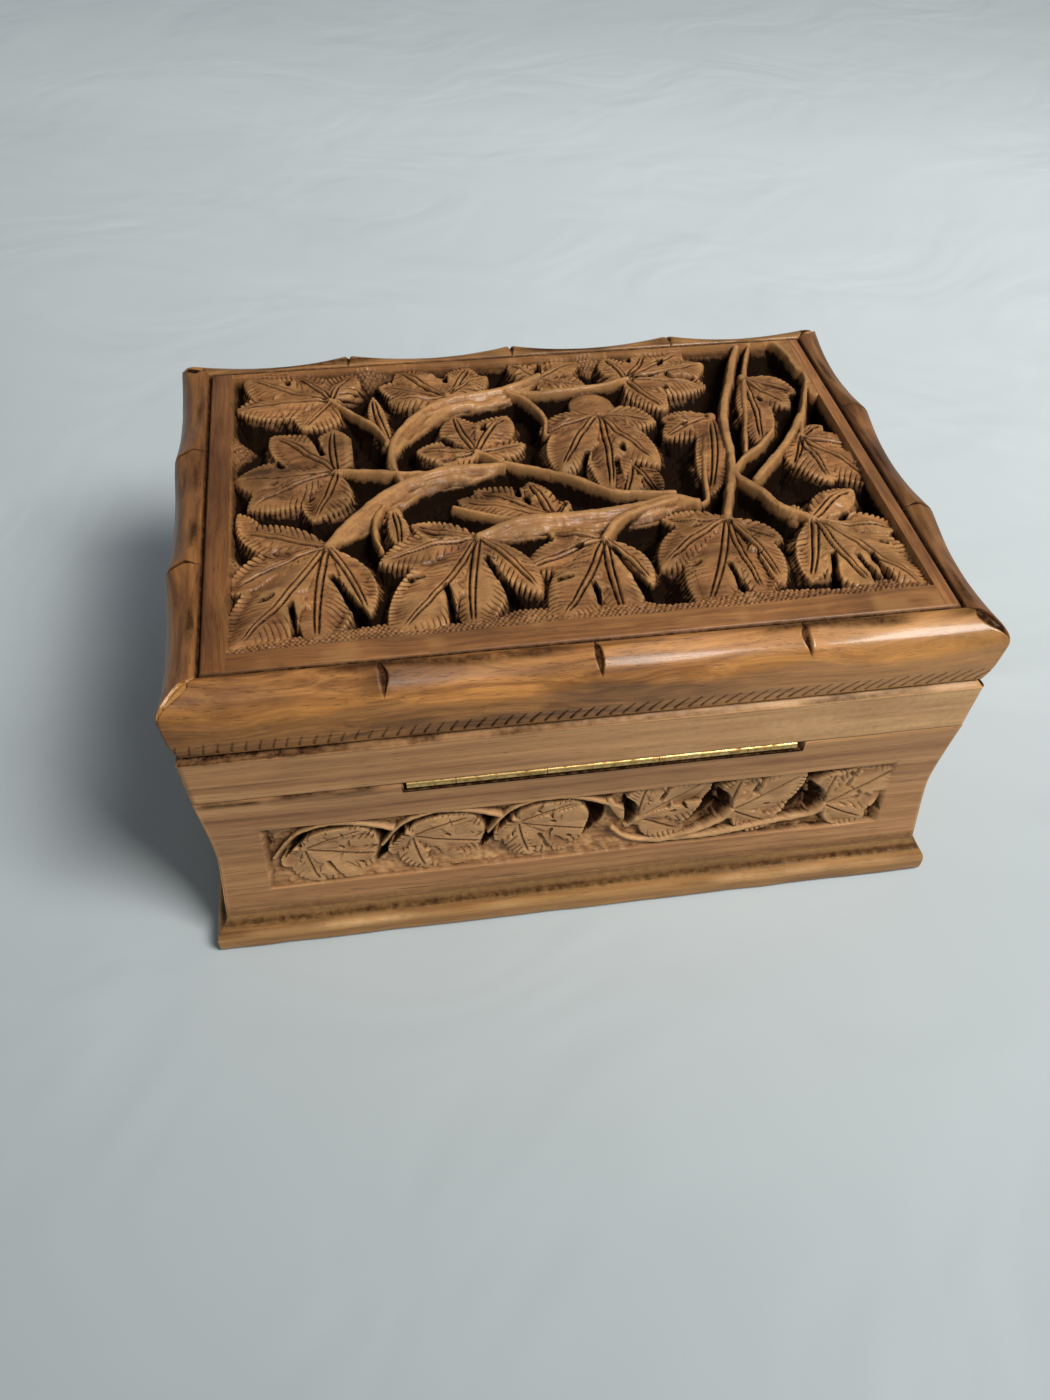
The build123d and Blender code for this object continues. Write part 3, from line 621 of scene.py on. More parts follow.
def wall_face(z):
    """Outer face of a wall above the base: two straight slopes run together at the waist."""
    above = -waist_in * (seam - z) / (seam - waist_z)
    below = -waist_in + (waist_in - foot_in) * (waist_z - z) / (waist_z - base_top)
    return (above + below) / 2 + np.hypot(above - below, 0.7) / 2 - 0.02


def wall_ground(along, across):
    rough = 0.45 * soft(along, across, 2.6, 51) + 0.30 * soft(along, across, 1.0, 52)
    return -1.7 + 0.7 * np.clip((across - 17) / 6, 0, 1) + 0.8 * rough - 1.0 * np.clip((along - 95) / 30, 0, 1)


def moved(points, start):
    """Points given from a start, as places in the field; a third figure stays as it is."""
    return [(start[0] + p[0], start[1] + p[1]) + tuple(p[2:]) for p in points]


def wall_vine(carving, length):
    """The vine in a wall's panel: an arched stem over each leaf of one kind, then a wavy one under the other kind."""
    arched, rising = (3, 3) if length > 150 else (2, 2)
    for number in range(arched):
        start = (10.1 + 28.5 * number, 11.0 - 0.7 * number)
        holes = [moved(hole, start) for hole in ARCHED_HOLES]
        carving.leaf(start, moved(ARCHED_LEAF, start), -0.05, width=0.37, droop=0.5, cuts=holes, flat=True)
        carving.gouge(moved([(-6, 3), (-1.5, -5), (5, -8.4), (13, -8)], start), 1.9, 2.6)
        carving.gouge(moved([(14, -8.5), (19.5, -5.5), (21.5, 1), (18, 8)], start), 2.4, 3.4)
        arch = [(-8.1, 2), (-2.7, -6), (3.3, -9.4), (9.2, -10.2), (16.4, -8.6), (23.6, -5.0), (28.4, -1.5)]
        carving.stem(moved(arch, start), 0.6, 0.0, (0.7, 0.9), fall=4)
    turn = 10.1 + 28.5 * arched
    tail = [(turn - 4, 4.0), (turn - 1, 9.7), (turn + 3, 13.2), (turn + 6, 12.5)]
    carving.stem(tail, 1.2, 0.0, (0.6, 0.8), fall=4)
    sweep = [(turn - 2.5, 16), (turn + 1.5, 20.1), (turn + 10, 22.9)]
    for number in range(rising):
        start = (turn + 4.4 + 26.8 * number, 12.5 + 1.6 * number)
        holes = [moved(hole, start) for hole in RISING_HOLES]
        carving.leaf(start, moved(RISING_LEAF, start), -0.05, width=0.35, droop=0.5, cuts=holes, flat=True)
        carving.gouge(moved([(22, -15), (22, -8), (19.5, -1), (15, 5)], start), 2.7, 4.4)
        carving.gouge(moved([(-4, -9), (-2, -3), (-3, 2)], start), 2.0, 3.2)
        if number:
            sweep += [(start[0] - 10 - 2 * number, 22.4 - number), (start[0] - 3, start[1] + 3.5), start]
            carving.stem(sweep, 0.7, 0.0, (0.8, 0.8), fall=4)
            sweep = [(start[0] - 22, 22.8), (start[0] - 5, 23.0)]


hinge_low, hinge_high = (corner.x for corner in reach_of("hinge_body_leaf"))
slot_low, slot_high, slot_out, slot_floor = hinge_low - 2.1, hinge_high + 1.0, -2.85, seam - 3.2
mortise_out, mortise_floor = reach_of("hinge_body_leaf")[0].y - half_depth - 0.05, seam - 1.15


def let_in_hinge(x, out, z):
    """Cuts the slot for the barrel and the bed for the leaf into the top of the rear wall."""
    top = z > seam - 0.4
    slot = (x > slot_low) & (x < slot_high) & (out > slot_out + 0.002)
    z = np.where(slot, np.minimum(z, slot_floor), z)
    bed = (x > hinge_low - 0.05) & (x < hinge_high + 0.05) & (out > mortise_out + 0.002) & top & ~slot
    return np.where(bed, np.minimum(z, mortise_floor), z)


def carve_wall(side, x, out, z):
    """Cuts the relief into a wall's face and gives the marks that go with it."""
    _, half_run, _ = SIDES[side]
    length = 2 * (half_run - panel_end)
    face = (out > -6) & (z > base_top + 0.01) & (z < seam - 0.01)
    along, across = length / 2 - x, panel_high - z
    ground = wall_ground(along, across)
    carving = Carving(along, across, ground, scale=0.62)
    wall_vine(carving, length)
    outside = np.maximum.reduce([-along, along - length, -across, across - (panel_high - panel_low)])
    everywhere = (slice(None), slice(None))
    border = np.where(outside >= 0, 0.0, -carving.wall(outside, 7.0, everywhere))
    carving.height = np.where(outside >= 0, 0.0, np.maximum(np.minimum(carving.height, 0.05), border))
    grime, worn = carving.marks(0.3)
    grime = 0.85 * np.clip(grime, 0, 1.4)
    worn = np.maximum(worn, 0.35 * np.clip((carving.height + 0.9) / 0.3, 0, 1))
    inside = (outside < 0) & face
    rub = softened(x, out, half_run) * face
    depth = np.where(inside, -carving.height, 0)
    wobble = 0.08 * soft(x, z, 18.0, 53 + HAND[side]) * face
    new_out = out - np.clip(depth, 0, 5.4) - rub + np.where(face, wobble, 0)
    edge_wear = np.clip(1 - (half_run + out - np.abs(x)) / 1.2, 0, 1) * face * 0.5
    # painted shade at the wall's foot, darker over the lowest 4.5 mm above the base
    grime = np.where(inside, grime, 0) + np.where(face, np.clip((base_top + 4.5 - z) / 4.5, 0, 1) * 0.5, 0)
    if side == "rear":
        lowered = let_in_hinge(x, out, z)
        # painted shade: the hinge slot and the leaf's bed are painted near black
        grime = np.where(lowered < z - 0.01, 0.95, grime)
        # painted shade of the seam's gap, with dirt on the wall's top edge: a darker band just under the seam, from the
        # slot towards +X
        seam_shade_and_dirt = np.clip((z - seam + 2.3) / 0.8, 0, 1) * np.clip((x - slot_high) / 3, 0, 1)
        grime = np.maximum(grime, seam_shade_and_dirt * np.clip(0.45 + 0.5 * soft(x / 4, z, 1.2, 54), 0, 1) * (out > -2))
        z = lowered
    return new_out, z, grime, np.maximum(np.where(inside, worn, 0), edge_wear), 0 * x


def wall_outline(step):
    plain_step = 1.2
    heights = sorted(set(
        [base_top] + list(np.arange(base_top + 0.3, panel_low - 0.2, plain_step))
        + list(np.arange(panel_low - 0.4, panel_high + 0.4, step))
        + list(np.arange(panel_high + 0.6, seam - 0.4, plain_step)) + [seam - 0.35, seam]
    ))
    face = [(float(wall_face(h)), h) for h in heights]
    face[-1] = (float(wall_face(seam)) - 0.2, seam)
    steps = [(slot_out + 0.004, seam), (slot_out, seam), (mortise_out + 0.004, seam), (mortise_out, seam)]
    inner = evenly([(wall_in, seam), (wall_in, base_top), (face[0][0], base_top)], 6.0)
    return face + steps + inner


# ---- lid rails ----

def rail_outline(step):
    shape = [
        (-0.25, lid_bottom), (0.0, lid_bottom + 0.25), (rail_flare - 0.1, rail_top - 1.9), (rail_flare, rail_top - 1.6),
        (rail_flare - 0.3, rail_top - 1.2), (-0.8, rail_top),
    ]
    inner = [(-0.8, rail_top), (wall_in, rail_top), (wall_in, lid_bottom), (-0.25, lid_bottom)]
    return evenly(shape, step) + evenly(inner, 6.0)[1:]


def age_rail(side, x, out, z):
    """Softens a rail's corners, leaves old glue and dirt on its ledge and paints light on the rear rail's face towards
    -X.
    """
    _, half_run, _ = SIDES[side]
    face = (out > -0.9) & (z < rail_top - 0.01) & (z > lid_bottom + 0.01)
    ledge = np.clip((z - (rail_top - 1.7)) / 0.3, 0, 1) * (out > -0.9)
    lumps = 0.2 * soft(x, z, 1.6, 61) + 0.15 * soft(x, z, 0.8, 62)
    out = out - softened(x, out, half_run) * face + ledge * lumps * (z < rail_top - 0.01)
    out = out + np.where(face, 0.06 * soft(x, z, 14.0, 63 + HAND[side]), 0)
    dirt = 0.6 + 0.35 * x / half_run + 0.3 * soft(x / 3, z, 5.0, 64) + 0.35 * soft(x / 5, z * 2, 1.4, 66)
    grime = ledge * np.clip(dirt, 0.15, 1)
    # painted light: the rear rail's face paler towards -X, the lamp's side; the flecks are pale filler on the ledge
    paler = (0.6 + 0.3 * soft(x / 15, z, 1.2, 67)) * face * np.clip((40 - x) / 100, 0, 1) if side == "rear" else 0
    flecks = 0.8 * ledge * np.clip(soft(x / 4, z * 3, 1.8, 65) - 0.4, 0, 1) * np.clip((30 - x) / 60, 0.1, 1)
    return out, z, grime, np.maximum(flecks, paler), 0 * x


# ---- the rim ----

rope_low, rope_high, rope_pitch = rail_top + 1.1, rail_top + 5.9, 3.25
scallop_depth, scallop_lean, nose_z = 2.3, math.radians(44), lid_top - 5.2


def rim_outline(step):
    """Outline of the rim: taper, rope band, full face, rolled crown, fall to the groove, then the hidden back."""
    face = hand_line([
        (0.3, rail_top + 0.9), (1.5, rail_top + 5.5), (2.1, rail_top + 10.5), (rim_out, rail_top + 15.0),
        (2.1, lid_top - 3.8), (1.1, lid_top - 1.5), (-1.0, lid_top), (-3.6, lid_top - 0.55),
        (groove_out + 0.8, border_top),
    ], step / 3)
    face = [(min(a, rim_out), min(b, lid_top)) for a, b in face]
    foot = evenly([(-0.8, rail_top), (0.3, rail_top + 0.9)], step / 3)
    groove = evenly([(groove_out + 0.8, border_top), (groove_out, border_top - 1.3)], step)
    back = evenly([(groove_out, border_top - 1.3), (groove_out, rail_top), (-0.8, rail_top)], 6.0)
    kept = [foot[0]]
    for place in foot[1:] + [tuple(p) for p in face[1:]]:
        if math.dist(place, kept[-1]) > (0.9 if rope_low - 0.3 < place[1] < rope_high + 0.3 else 1.5) * step:
            kept.append(place)
    return kept + groove[1:] + back[1:]


def carve_rim(side, x, out, z):
    """Scallops, notches, mitre gouges and rope gouges of one side of the rim."""
    _, half_run, _ = SIDES[side]
    bays = 4 if half_run > 90 else 3
    hand = HAND[side]
    half_bay = (half_run + rim_out) / bays
    seen = (out > groove_out + 0.05) & (z > rail_top + 0.05)
    # scallops
    middle = (np.floor((x + half_run + rim_out) / (2 * half_bay)) + 0.5) * 2 * half_bay - half_run - rim_out
    radius = (half_bay ** 2 + scallop_depth ** 2) / (2 * scallop_depth)
    sag = radius - np.sqrt(np.clip(radius ** 2 - (x - middle) ** 2, 0, None))
    forward = (out - rim_out + scallop_depth) * math.cos(scallop_lean) + (z - nose_z) * math.sin(scallop_lean)
    upward = (z - nose_z) * math.cos(scallop_lean) - (out - rim_out + scallop_depth) * math.sin(scallop_lean)
    excess = forward - sag + 0.42 * (np.hypot(upward - 0.8, 2.2) - 2.2)
    excess = np.where(excess > 4, excess, 0.35 * np.log1p(np.exp(np.clip(excess / 0.35, -40, 12)))) * seen
    excess = np.where(excess < 0.004, 0, excess)
    out, z = out - excess * math.cos(scallop_lean), z - excess * math.sin(scallop_lean)
    # place over the crown, 0 at the groove and 1 a little below the nose
    crown = np.clip((out - (groove_out + 1.0)) / 7.0, 0, 1) * 0.62 + np.clip((lid_top - 1.0 - z) / 5.0, 0, 1) * 0.38
    # spindle-shaped notches at the crests
    crest = np.round((x + half_run + rim_out) / (2 * half_bay)) * 2 * half_bay - half_run - rim_out
    inner = (np.abs(crest) < half_run - 5)
    spindle = np.sin(math.pi * np.clip(crown / 0.93, 0, 1))
    half_notch = (1.15 if side in ("rear", "front") else 0.75) * spindle ** 0.7 + 1e-3
    lean = (x - crest) + (0.5 * (crown - 0.5) if side == "rear" else 0)
    notch = 1.25 * np.clip(1 - (lean / half_notch) ** 2, 0, 1) * inner * spindle ** 0.4
    # gouges along the mitres
    corner = (half_run + out - np.abs(x)) / math.sqrt(2)
    wide = (x < 0) == (side == "rear")
    half_mitre = 0.2 + np.where(wide, 1.1, 0.25) * np.sin(math.pi * np.clip(crown, 0, 1) ** 1.3) ** 1.5
    mitre = 0.9 * np.clip(1 - corner / half_mitre, 0, 1) * np.clip(crown * 12, 0, 1) * (crown < 0.97)
    # slanting gouges of the rope band
    rise = np.clip((z - rope_low) / (rope_high - rope_low), 0, 1)
    band = (z > rope_low) & (z < rope_high) & seen
    drift = x + 0.25 * soft(x, 0 * x, 6.0, 71 + hand) + (2.6 - x / 55) * rise ** 1.4
    phase = drift / rope_pitch
    stroke = np.abs(phase - np.round(phase)) * rope_pitch
    width = (0.30 * (1 - rise) ** 0.6 + 0.20) * (1 + 0.25 * soft(np.round(phase) * 3.3, 0 * x, 2.0, 77))
    rope = 0.7 * np.clip(1 - stroke / width, 0, 1) * (1 - 0.5 * rise) * band * np.clip(rise * 9, 0, 1)
    rope = rope * (0.4 + 0.6 * np.clip((60 - x) / 70, 0, 1))
    scribed = np.abs(rise - 0.72 + 0.06 * soft(x, 0 * x, 20.0, 75))
    rope = rope + 0.12 * band * np.clip(1 - scribed / 0.07, 0, 1) * (x > 0)
    # hand-planed unevenness
    wobble = 0.10 * soft(x, z + out, 22.0, 72 + hand) + 0.05 * soft(x, z + out, 5.0, 73 + hand)
    face = seen & (z < lid_top - 1)
    depth = (notch + mitre) * seen
    out = out - 0.75 * depth - rope + wobble * face
    z = z - 0.65 * depth * seen
    out = np.minimum(out, rim_out)
    out = out - softened(x, out, half_run, 0.6, 0.4) * (z < lid_top - 4) * seen
    # dirt and painted shade in the notches, the rope gouges and the wide mitre gouges
    grime = np.clip(1.6 * notch + 3.5 * rope + 2.0 * mitre * wide, 0, 1) * seen
    # painted shade: a dark band along the dished strip just outside the groove
    hollow = np.clip((out - groove_out - 0.6) / 0.8, 0, 1) * np.clip((groove_out + 4.4 - out) / 1.6, 0, 1)
    hollow = hollow * np.clip(0.35 + 0.8 * soft(x / 3, out, 4.0, 76 + hand), 0, 0.8) * (z > rail_top + 8)
    grime = np.maximum(grime, hollow)
    # dirt and painted shade in the groove
    grime = np.maximum(grime, np.clip((groove_out + 0.8 - out) / 0.5, 0, 1))
    low = np.clip((rail_top + 1.0 - z) / 0.7, 0, 1) * (out > -0.9)
    grime = np.maximum(grime, low * np.clip(0.5 + soft(x, z, 6.0, 74), 0, 1))
    worn = np.clip(1 - np.abs(excess) / 0.4, 0, 1) * np.clip((forward - sag + 0.9) / 0.9, 0, 1) * 0.5 * seen
    worn = np.maximum(worn, np.clip(1.0 * mitre * ~wide, 0, 0.5) * seen)
    # painted light on the rear rim's face towards -X, the lamp's side, and painted shade towards +X
    if side == "rear":
        worn = np.maximum(worn, 0.4 * np.clip((-x - 20) / 70, 0, 1) * face)
        grime = np.maximum(grime, 0.2 * np.clip((x - 30) / 60, 0, 1) * face)
    dull = np.clip(0.6 + x / 90, 0.05, 0.9) if side == "rear" else {"left": 0.95, "front": 0.1}.get(side, 0.5) + 0 * x
    return out, z, grime, worn, dull


# ---- base board ----

def base_ring(outline, step):
    """Rows of points round the box, one row for each (out, z) of the outline."""
    rows = []
    for out, z in outline:
        a, b = half_length + out, half_depth + out
        corners = [(-a, -b), (a, -b), (a, b), (-a, b), (-a, -b)]
        ring = []
        for p, q, run in zip(corners, corners[1:], (half_length, half_depth) * 2):
            count = int(round(2 * run / step))
            ring += [(p[0] + (q[0] - p[0]) * n / count, p[1] + (q[1] - p[1]) * n / count, z) for n in range(count)]
        rows.append(ring + [(-a, -b, z)])
    return np.array(rows)


def make_base():
    edge = hand_line([
        (base_out - 0.8, 0.2), (base_out - 0.2, 1.2), (base_out, 3.0), (base_out, 4.9), (base_out - 0.35, 6.9),
        (base_out - 1.2, 8.3), (base_out - 2.0, 8.9), (-0.5, 9.4), (-1.2, 10.6), (-1.5, 12.0), (-foot_in, base_top),
    ], 0.4)
    outline = [(-3.0, 0.0), (base_out - 1.2, 0.0)] + [(min(a, base_out), min(b, base_top)) for a, b in edge]
    outline += [(-3.0, base_top), (wall_in, base_top)]
    points = base_ring(outline, base_step)
    z = points[:, :, 2]
    rub = np.where((z > 0.1) & (z < 9), 0.13, 0) * (soft(points[:, :, 0] + points[:, :, 1] * 3.7, z, 9.0, 81) - 1)
    points[:, :, 0] += rub * np.sign(points[:, :, 0]) * (np.abs(points[:, :, 0]) > half_length - 3)
    points[:, :, 1] += rub * np.sign(points[:, :, 1]) * (np.abs(points[:, :, 1]) > half_depth - 3)
    # a dark line at the joint, darker over the lowest millimetre, and painted shade in the cove above the joint
    joint = np.clip(1.3 - np.abs(z - 9.2) / 1.0, 0, 1)
    grime = 0.8 * joint + np.clip((1.0 - z) / 1.0, 0, 1) * 0.4 + 0.5 * np.clip((z - 9.5) / 1.0, 0, 1)
    # rub and a painted highlight along the nose; the cove takes the wall's paler colour
    near_top = np.clip(1 - np.abs(z - 6.5) / 2.0, 0, 1)
    worn = near_top * np.clip(0.45 + 0.6 * soft(points[:, :, 0], points[:, :, 1], 11.0, 82), 0, 1)
    worn = np.maximum(worn, 0.3 * np.clip((z - 9.6) / 0.6, 0, 1))
    return closed_up(sheet_of("base_board_moulded", points, grime=grime, worn=worn, handled=0 * z), 40)


# ---- materials ----

def linear(hex_colour):
    """An sRGB hex value as a linear colour."""
    parts = [int(hex_colour[n:n + 2], 16) / 255 for n in (1, 3, 5)]
    return tuple(p / 12.92 if p <= 0.04045 else ((p + 0.055) / 1.055) ** 2.4 for p in parts) + (1.0,)


def add(tree, kind, inputs=None, **settings):
    """One shader node with its settings; an input is a value, or the socket that feeds it."""
    made = tree.nodes.new("ShaderNode" + kind)
    for name, value in settings.items():
        setattr(made, name, value)
    for name, value in (inputs or {}).items():
        if isinstance(value, bpy.types.NodeSocket):
            tree.links.new(value, made.inputs[name])
        else:
            made.inputs[name].default_value = value
    return made


def noise(tree, vector, scale, detail, roughness=0.5, location=(0, 0, 0), output="Fac"):
    """Noise with its own count of lumps per unit along each axis, so that it can be drawn out along the grain."""
    place = add(tree, "Mapping", {"Vector": vector, "Scale": scale, "Location": location}).outputs[0]
    look = {"Vector": place, "Scale": 1.0, "Detail": detail, "Roughness": roughness}
    return add(tree, "TexNoise", look).outputs[output]


def ranged(tree, value, low=0.0, high=1.0, to_low=0.0, to_high=1.0):
    """The value spread from one range to another, and held at its ends."""
    limits = {"Value": value, "From Min": low, "From Max": high, "To Min": to_low, "To Max": to_high}
    return add(tree, "MapRange", limits).outputs["Result"]


def mixed(tree, share, first, second, blend_type="MIX"):
    """Two colours, mixed by the share of the second."""
    inputs = {"Factor": share, 6: first, 7: second}
    return add(tree, "Mix", inputs, data_type="RGBA", blend_type=blend_type).outputs[2]


def walnut(name, grain, heart, sap, streak, figure, clouds, stain_and_shade, rub, darkened, roughness, coat, offset):
    """Walnut, planed or carved, under a thin satin varnish: tan with long soft bands and streaks, short dark pores,
    brown stain and painted shade in the cuts and hollows, a paler golden rub with painted light on the ridges, and a
    darker film of tone and painted light and shade. grain is the axis it runs along."""
    material = bpy.data.materials.new(name)
    material.use_nodes = True
    tree = material.node_tree
    shader = tree.nodes["Principled BSDF"]
    places = add(tree, "TexCoord").outputs["Object"]
    turn = (0, 0, math.radians(90)) if grain == "Y" else (0, 0, 0)
    mm = add(tree, "Mapping", {"Vector": places, "Scale": (1000, 1000, 1000)}).outputs[0]
    mm = add(tree, "Mapping", {"Vector": mm, "Rotation": turn, "Location": offset}).outputs[0]

    # the figure: slow bends of the grain, tens of millimetres long
    bend = noise(tree, mm, (0.018, 0.06, 0.06), 2.0, output="Color")
    bent = add(tree, "VectorMath", {0: bend, 1: (0.0, figure * 9, figure * 9)}, operation="MULTIPLY").outputs[0]
    bent = add(tree, "VectorMath", {0: mm, 1: bent}, operation="ADD").outputs[0]

    # growth bands, 2 to 5 mm apart
    band = ranged(tree, noise(tree, bent, (0.005, 0.40, 0.40), 4.0, 0.62), 0.34, 0.70)
    colour = mixed(tree, band, linear(sap), linear(heart))

    # dark streaks, few and long
    line = ranged(tree, noise(tree, bent, (0.008, 0.42, 0.42), 3.0, 0.55, (7, 3, 5)), 0.62, 0.74, 0.0, 0.7)
    colour = mixed(tree, line, colour, linear(streak))

    # fine fibre, half a millimetre across, drawn a little coarse so that it shows
    fibre = noise(tree, bent, (0.05, 1.9, 1.9), 3.0, 0.7)
    colour = mixed(tree, 1.0, colour, ranged(tree, fibre, 0.3, 0.7, 0.82, 1.15), "MULTIPLY")

    # open pores: dashes 3 to 8 mm long
    pore = ranged(tree, noise(tree, mm, (0.17, 3.2, 3.2), 1.0, 0.5, (1, 8, 2)), 0.64, 0.71)
    dark = add(tree, "Math", {0: pore, 1: 0.5}, operation="MULTIPLY").outputs[0]
    colour = mixed(tree, dark, colour, linear(streak))

    # cloudy patches of stain and handling, a dozen millimetres across
    cloud = noise(tree, bent, (0.03, 0.075, 0.075), 3.0, 0.6, (2, 6, 9))
    colour = mixed(tree, ranged(tree, cloud, 0.45, 0.75, 0.0, clouds), colour, linear(streak))

    # rub and painted light on the ridges, a darker film of tone and painted light and shade, stain and painted shade in
    # the cuts
    grime, worn, handled, dull = (
        add(tree, "Attribute", attribute_name=mark).outputs["Fac"] for mark in ("grime", "worn", "handled", "dull")
    )
    patch = add(tree, "TexNoise", {"Vector": mm, "Scale": 0.55, "Detail": 4.0, "Roughness": 0.6}).outputs["Fac"]
    patchy = ranged(tree, patch, 0.3, 0.7, 0.7, 1.2)
    grime_and_shade_share = add(tree, "Math", {0: grime, 1: patchy}, operation="MULTIPLY", use_clamp=True).outputs[0]
    rub_and_light_share = add(tree, "Math", {0: worn, 1: patchy}, operation="MULTIPLY", use_clamp=True).outputs[0]
    colour = mixed(tree, rub_and_light_share, colour, linear(rub))
    colour = mixed(tree, handled, colour, linear(darkened), "MULTIPLY")
    colour = mixed(tree, grime_and_shade_share, colour, linear(stain_and_shade))
    tree.links.new(colour, shader.inputs["Base Color"])

    matt = ranged(tree, fibre, 0.0, 1.0, roughness - 0.06, roughness + 0.1)
    matt = add(tree, "Math", {0: grime_and_shade_share, 1: 0.35, 2: matt}, operation="MULTIPLY_ADD", use_clamp=True).outputs[0]
    tree.links.new(matt, shader.inputs["Roughness"])
    shader.inputs["IOR"].default_value = 1.5
    gleam = add(tree, "Math", {0: grime_and_shade_share, 1: -0.25, 2: 0.3}, operation="MULTIPLY_ADD", use_clamp=True).outputs[0]
    tree.links.new(gleam, shader.inputs["Specular IOR Level"])
    glossy = add(tree, "Math", {0: dull, 1: -coat, 2: coat}, operation="MULTIPLY_ADD", use_clamp=True).outputs[0]
    clean = add(tree, "Math", {0: 1.0, 1: grime_and_shade_share}, operation="SUBTRACT", use_clamp=True).outputs[0]
    glossy = add(tree, "Math", {0: glossy, 1: clean}, operation="MULTIPLY").outputs[0]
    tree.links.new(glossy, shader.inputs["Coat Weight"])
    shader.inputs["Coat Roughness"].default_value = 0.16
    shader.inputs["Coat IOR"].default_value = 1.5

    relief = add(tree, "Math", {0: pore, 1: -0.8, 2: fibre}, operation="MULTIPLY_ADD").outputs[0]
    raw = add(tree, "TexNoise", {"Vector": mm, "Scale": 2.2, "Detail": 3.0, "Roughness": 0.7}).outputs["Fac"]
    torn = add(tree, "Math", {0: grime_and_shade_share, 1: raw}, operation="MULTIPLY").outputs[0]
    relief = add(tree, "Math", {0: torn, 1: 4.0, 2: relief}, operation="MULTIPLY_ADD").outputs[0]
    bump = add(tree, "Bump", {"Height": relief, "Strength": 0.5, "Distance": 0.00012})
    tree.links.new(bump.outputs["Normal"], shader.inputs["Normal"])
    return material


def brass(name):
    """Old drawn brass: yellow, dulled by fingers in brown tarnished patches, with fine drawing lines along it."""
    material = bpy.data.materials.new(name)
    material.use_nodes = True
    tree = material.node_tree
    shader = tree.nodes["Principled BSDF"]
    places = add(tree, "TexCoord").outputs["Object"]
    mm = add(tree, "Mapping", {"Vector": places, "Scale": (1000, 1000, 1000)}).outputs[0]
    cloud = add(tree, "TexNoise", {"Vector": mm, "Scale": 0.5, "Detail": 4.0, "Roughness": 0.65}).outputs["Fac"]
    dull = ranged(tree, cloud, 0.42, 0.68)
    colour = mixed(tree, dull, linear("#DDBA78"), linear("#8F6F42"))
    tree.links.new(colour, shader.inputs["Base Color"])
    shader.inputs["Metallic"].default_value = 1.0
    lines = noise(tree, mm, (0.2, 9, 9), 2.0)
    tree.links.new(ranged(tree, dull, 0.0, 1.0, 0.30, 0.55), shader.inputs["Roughness"])
    bump = add(tree, "Bump", {"Height": lines, "Strength": 0.35, "Distance": 0.00008})
    tree.links.new(bump.outputs["Normal"], shader.inputs["Normal"])
    return material


def wood(name, grain, **changes):
    """Walnut of the box's plain parts, with what differs."""
    # the stain colour is that of dirt and painted shade, rub that of wear and painted light, darkened that of the
    # border's tone and painted light and shade
    look = dict(
        heart="#8B5E39", sap="#B68758", streak="#55361B", figure=0.3, clouds=0.3, stain_and_shade="#2A160A", rub="#CFA370",
        darkened="#A8997F",
        roughness=0.50, coat=0.08, offset=(0, 0, 0),
    )
    look.update(changes)
    return walnut(name, grain, **look)


rim_look = dict(
    heart="#76491F", sap="#B67D42", streak="#3C210D", figure=1.8, clouds=0.75, rub="#C38D4A", roughness=0.45, coat=0.4,
)
# carved: a near-black stain colour for the dirt and the painted shade of the deep pockets
carved_look = dict(
    heart="#784D2D", sap="#AC7747", streak="#3C2413", figure=1.0, clouds=0.6, stain_and_shade="#180C05", rub="#BA8C57",
    roughness=0.42, coat=0.12,
)
plain_x = wood("walnut_planed_long_grain", "X")
plain_y = wood("walnut_planed_side_grain", "Y", offset=(31, 7, 3))
base_wood = wood("walnut_moulded_base", "X", offset=(45, 13, 2), heart="#7F532A", sap="#AF824A", roughness=0.46)
rail_x = wood("walnut_planed_lid_long", "X", offset=(5, 40, 21))
rail_y = wood("walnut_planed_lid_side", "Y", offset=(11, 27, 40))
rim_x = wood("walnut_polished_rim_long", "X", offset=(3, 2, 1), **rim_look)
# painted light and shade in copies of the rim walnut: the +X rim darker, away from the lamp; the -X rim darker still,
# against the lamp's light on it; the far rim paler, a painted sheen
rim_y_shaded = wood("walnut_polished_rim_side_painted_shade", "Y", offset=(17, 33, 6), **dict(rim_look, heart="#613A1A", sap="#9C6836"))
rim_end_shaded = wood(
    "walnut_polished_rim_end_painted_shade", "Y", offset=(8, 3, 26), **dict(rim_look, heart="#5A371D", sap="#8F6236", coat=0.2)
)
rim_front_lit = wood("walnut_polished_rim_front_painted_sheen", "X", offset=(3, 22, 14), **dict(rim_look, heart="#83572D", sap="#BD8A52"))
carved_x = wood("walnut_carved_panel", "X", offset=(23, 5, 9), **carved_look)
carved_y = wood("walnut_carved_cleat", "Y", offset=(2, 50, 8), **carved_look)
aged_brass = brass("brass_drawn_tarnished")


# ---- the box ----

for side, grain_look in {"rear": plain_x, "left": plain_y, "front": plain_x, "right": plain_y}.items():
    piece = moulding(side + "_wall_carved", side, wall_outline(wall_step), wall_step, carve_wall)
    placed(piece, "box", "walnut_plain", grain_look, side + "_wall")
placed(make_base(), "box", "walnut_plain", base_wood, "base_board")

# ---- the lid ----

for side in SIDES:
    long_side = side in ("rear", "front")
    piece = moulding("lid_" + side + "_rail_aged", side, rail_outline(rail_row), rail_step, age_rail)
    placed(piece, "lid", "walnut_plain", rail_x if long_side else rail_y, "lid_" + side + "_rail")
    piece = moulding("lid_" + side + "_rim_carved", side, rim_outline(rim_row), rim_step, carve_rim)
    rim_of = {"rear": rim_x, "left": rim_end_shaded, "front": rim_front_lit, "right": rim_y_shaded}[side]
    placed(piece, "lid", "walnut_rim", rim_of, "lid_" + side + "_rim")

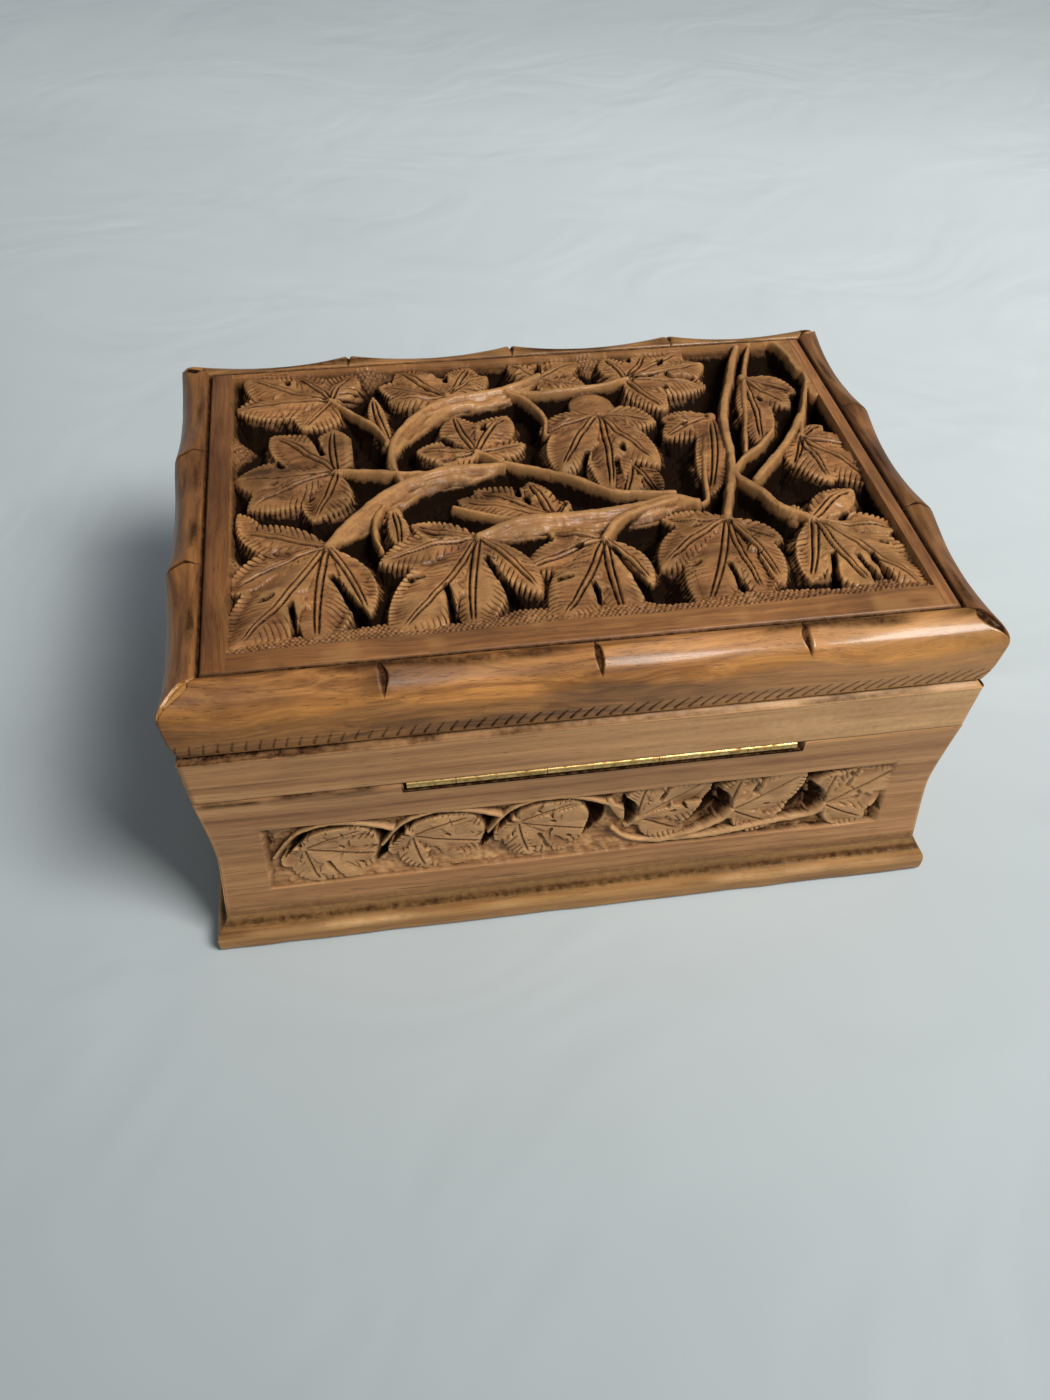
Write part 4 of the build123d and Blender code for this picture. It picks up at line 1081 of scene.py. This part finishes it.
panel_blocks = 6
for number in range(panel_blocks):
    low = panel_left + (panel_right - panel_left) * number / panel_blocks
    high = panel_left + (panel_right - panel_left) * (number + 1) / panel_blocks
    piece = lid_block("lid_panel_carved_%d" % (number + 1), low, high, panel_step, True)
    placed(piece, "lid", "walnut_carved", carved_x, "lid_panel")
piece = lid_block("lid_left_cleat_planed", -groove_x, panel_left, cleat_step, False)
placed(piece, "lid", "walnut_carved", carved_y, "lid_left_cleat")
piece = lid_block("lid_right_cleat_planed", panel_right, groove_x, cleat_step, False)
placed(piece, "lid", "walnut_carved", carved_y, "lid_right_cleat")

# ---- the hinge keeps its CAD shapes ----

for node in ("hinge_body_leaf", "hinge_lid_leaf", "hinge_pin", "hinge_body_screws", "hinge_lid_screws"):
    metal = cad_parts[node]
    metal.data.materials.clear()
    metal.data.materials.append(aged_brass)


# ---- camera, floor and light ----

def camera_at(place, right, down, ahead, lens):
    """The camera, from its place in millimetres and the directions of its view."""
    select_none()
    bpy.ops.object.camera_add()
    camera = bpy.context.object
    turn = Matrix((right, -Vector(down), -Vector(ahead))).transposed().to_4x4()
    camera.matrix_world = Matrix.Translation(Vector(place) * 0.001) @ turn
    camera.data.lens = lens
    camera.data.sensor_width = 36
    camera.data.clip_start = 0.01
    bpy.context.scene.camera = camera


camera_at(
    (53.2, 278.7, 292.7), (-0.98802, 0.15330, 0.01764), (0.09585, 0.69930, -0.70837), (-0.12093, -0.69820, -0.70562),
    31.8,
)


def paper(name):
    """Matt off-white backing paper: faintly blue-grey, with painted shade that darkens it towards +Y and +X, and very
    soft handling creases.
    """
    material = bpy.data.materials.new(name)
    material.use_nodes = True
    tree = material.node_tree
    shader = tree.nodes["Principled BSDF"]
    places = add(tree, "TexCoord").outputs["Object"]
    across = add(tree, "Mapping", {"Vector": places, "Rotation": (0, 0, math.radians(20))}).outputs[0]
    across = add(tree, "SeparateXYZ", {"Vector": across}).outputs["Y"]
    # painted shade: the paper darkens towards +Y, the camera side, and towards +X
    darker = ranged(tree, across, -0.50, 0.30)
    cloud = add(tree, "TexNoise", {"Vector": places, "Scale": 5.0, "Detail": 3.0}).outputs["Fac"]
    share = add(tree, "Math", {0: cloud, 1: 0.15, 2: darker}, operation="MULTIPLY_ADD").outputs[0]
    painted_tone = mixed(tree, share, linear("#F0FAFF"), linear("#98A2A7"))
    tree.links.new(painted_tone, shader.inputs["Base Color"])
    shader.inputs["Roughness"].default_value = 0.75
    crease = add(tree, "TexNoise", {"Vector": places, "Scale": 9.0, "Detail": 2.0, "Distortion": 1.5}).outputs["Fac"]
    bump = add(tree, "Bump", {"Height": crease, "Strength": 0.25, "Distance": 0.01})
    tree.links.new(bump.outputs["Normal"], shader.inputs["Normal"])
    return material


select_none()
bpy.ops.mesh.primitive_plane_add(size=6, location=(0, 0, -0.0001))
floor = bpy.context.object
floor.name = "floor"
floor.data.materials.append(paper("paper_backing_matt"))


def window_light(name, place, size, power, colour):
    """A soft rectangular light that faces the box."""
    select_none()
    bpy.ops.object.light_add(type="AREA", location=place)
    light = bpy.context.object
    light.name = name
    light.rotation_euler = (Vector((0, 0, 0.04)) - Vector(place)).to_track_quat("-Z", "Y").to_euler()
    light.data.shape = "RECTANGLE"
    light.data.size, light.data.size_y = size
    light.data.energy = power
    light.data.color = colour


window_light("window", (-0.46, 0.56, 1.0), (0.44, 0.44), 17.2, (1.0, 0.965, 0.91))

world = bpy.data.worlds.new("room")
world.use_nodes = True
world.node_tree.nodes["Background"].inputs["Color"].default_value = linear("#E4EAEE")
world.node_tree.nodes["Background"].inputs["Strength"].default_value = 0.25
bpy.context.scene.world = world
bpy.context.scene.view_settings.view_transform = "Standard"
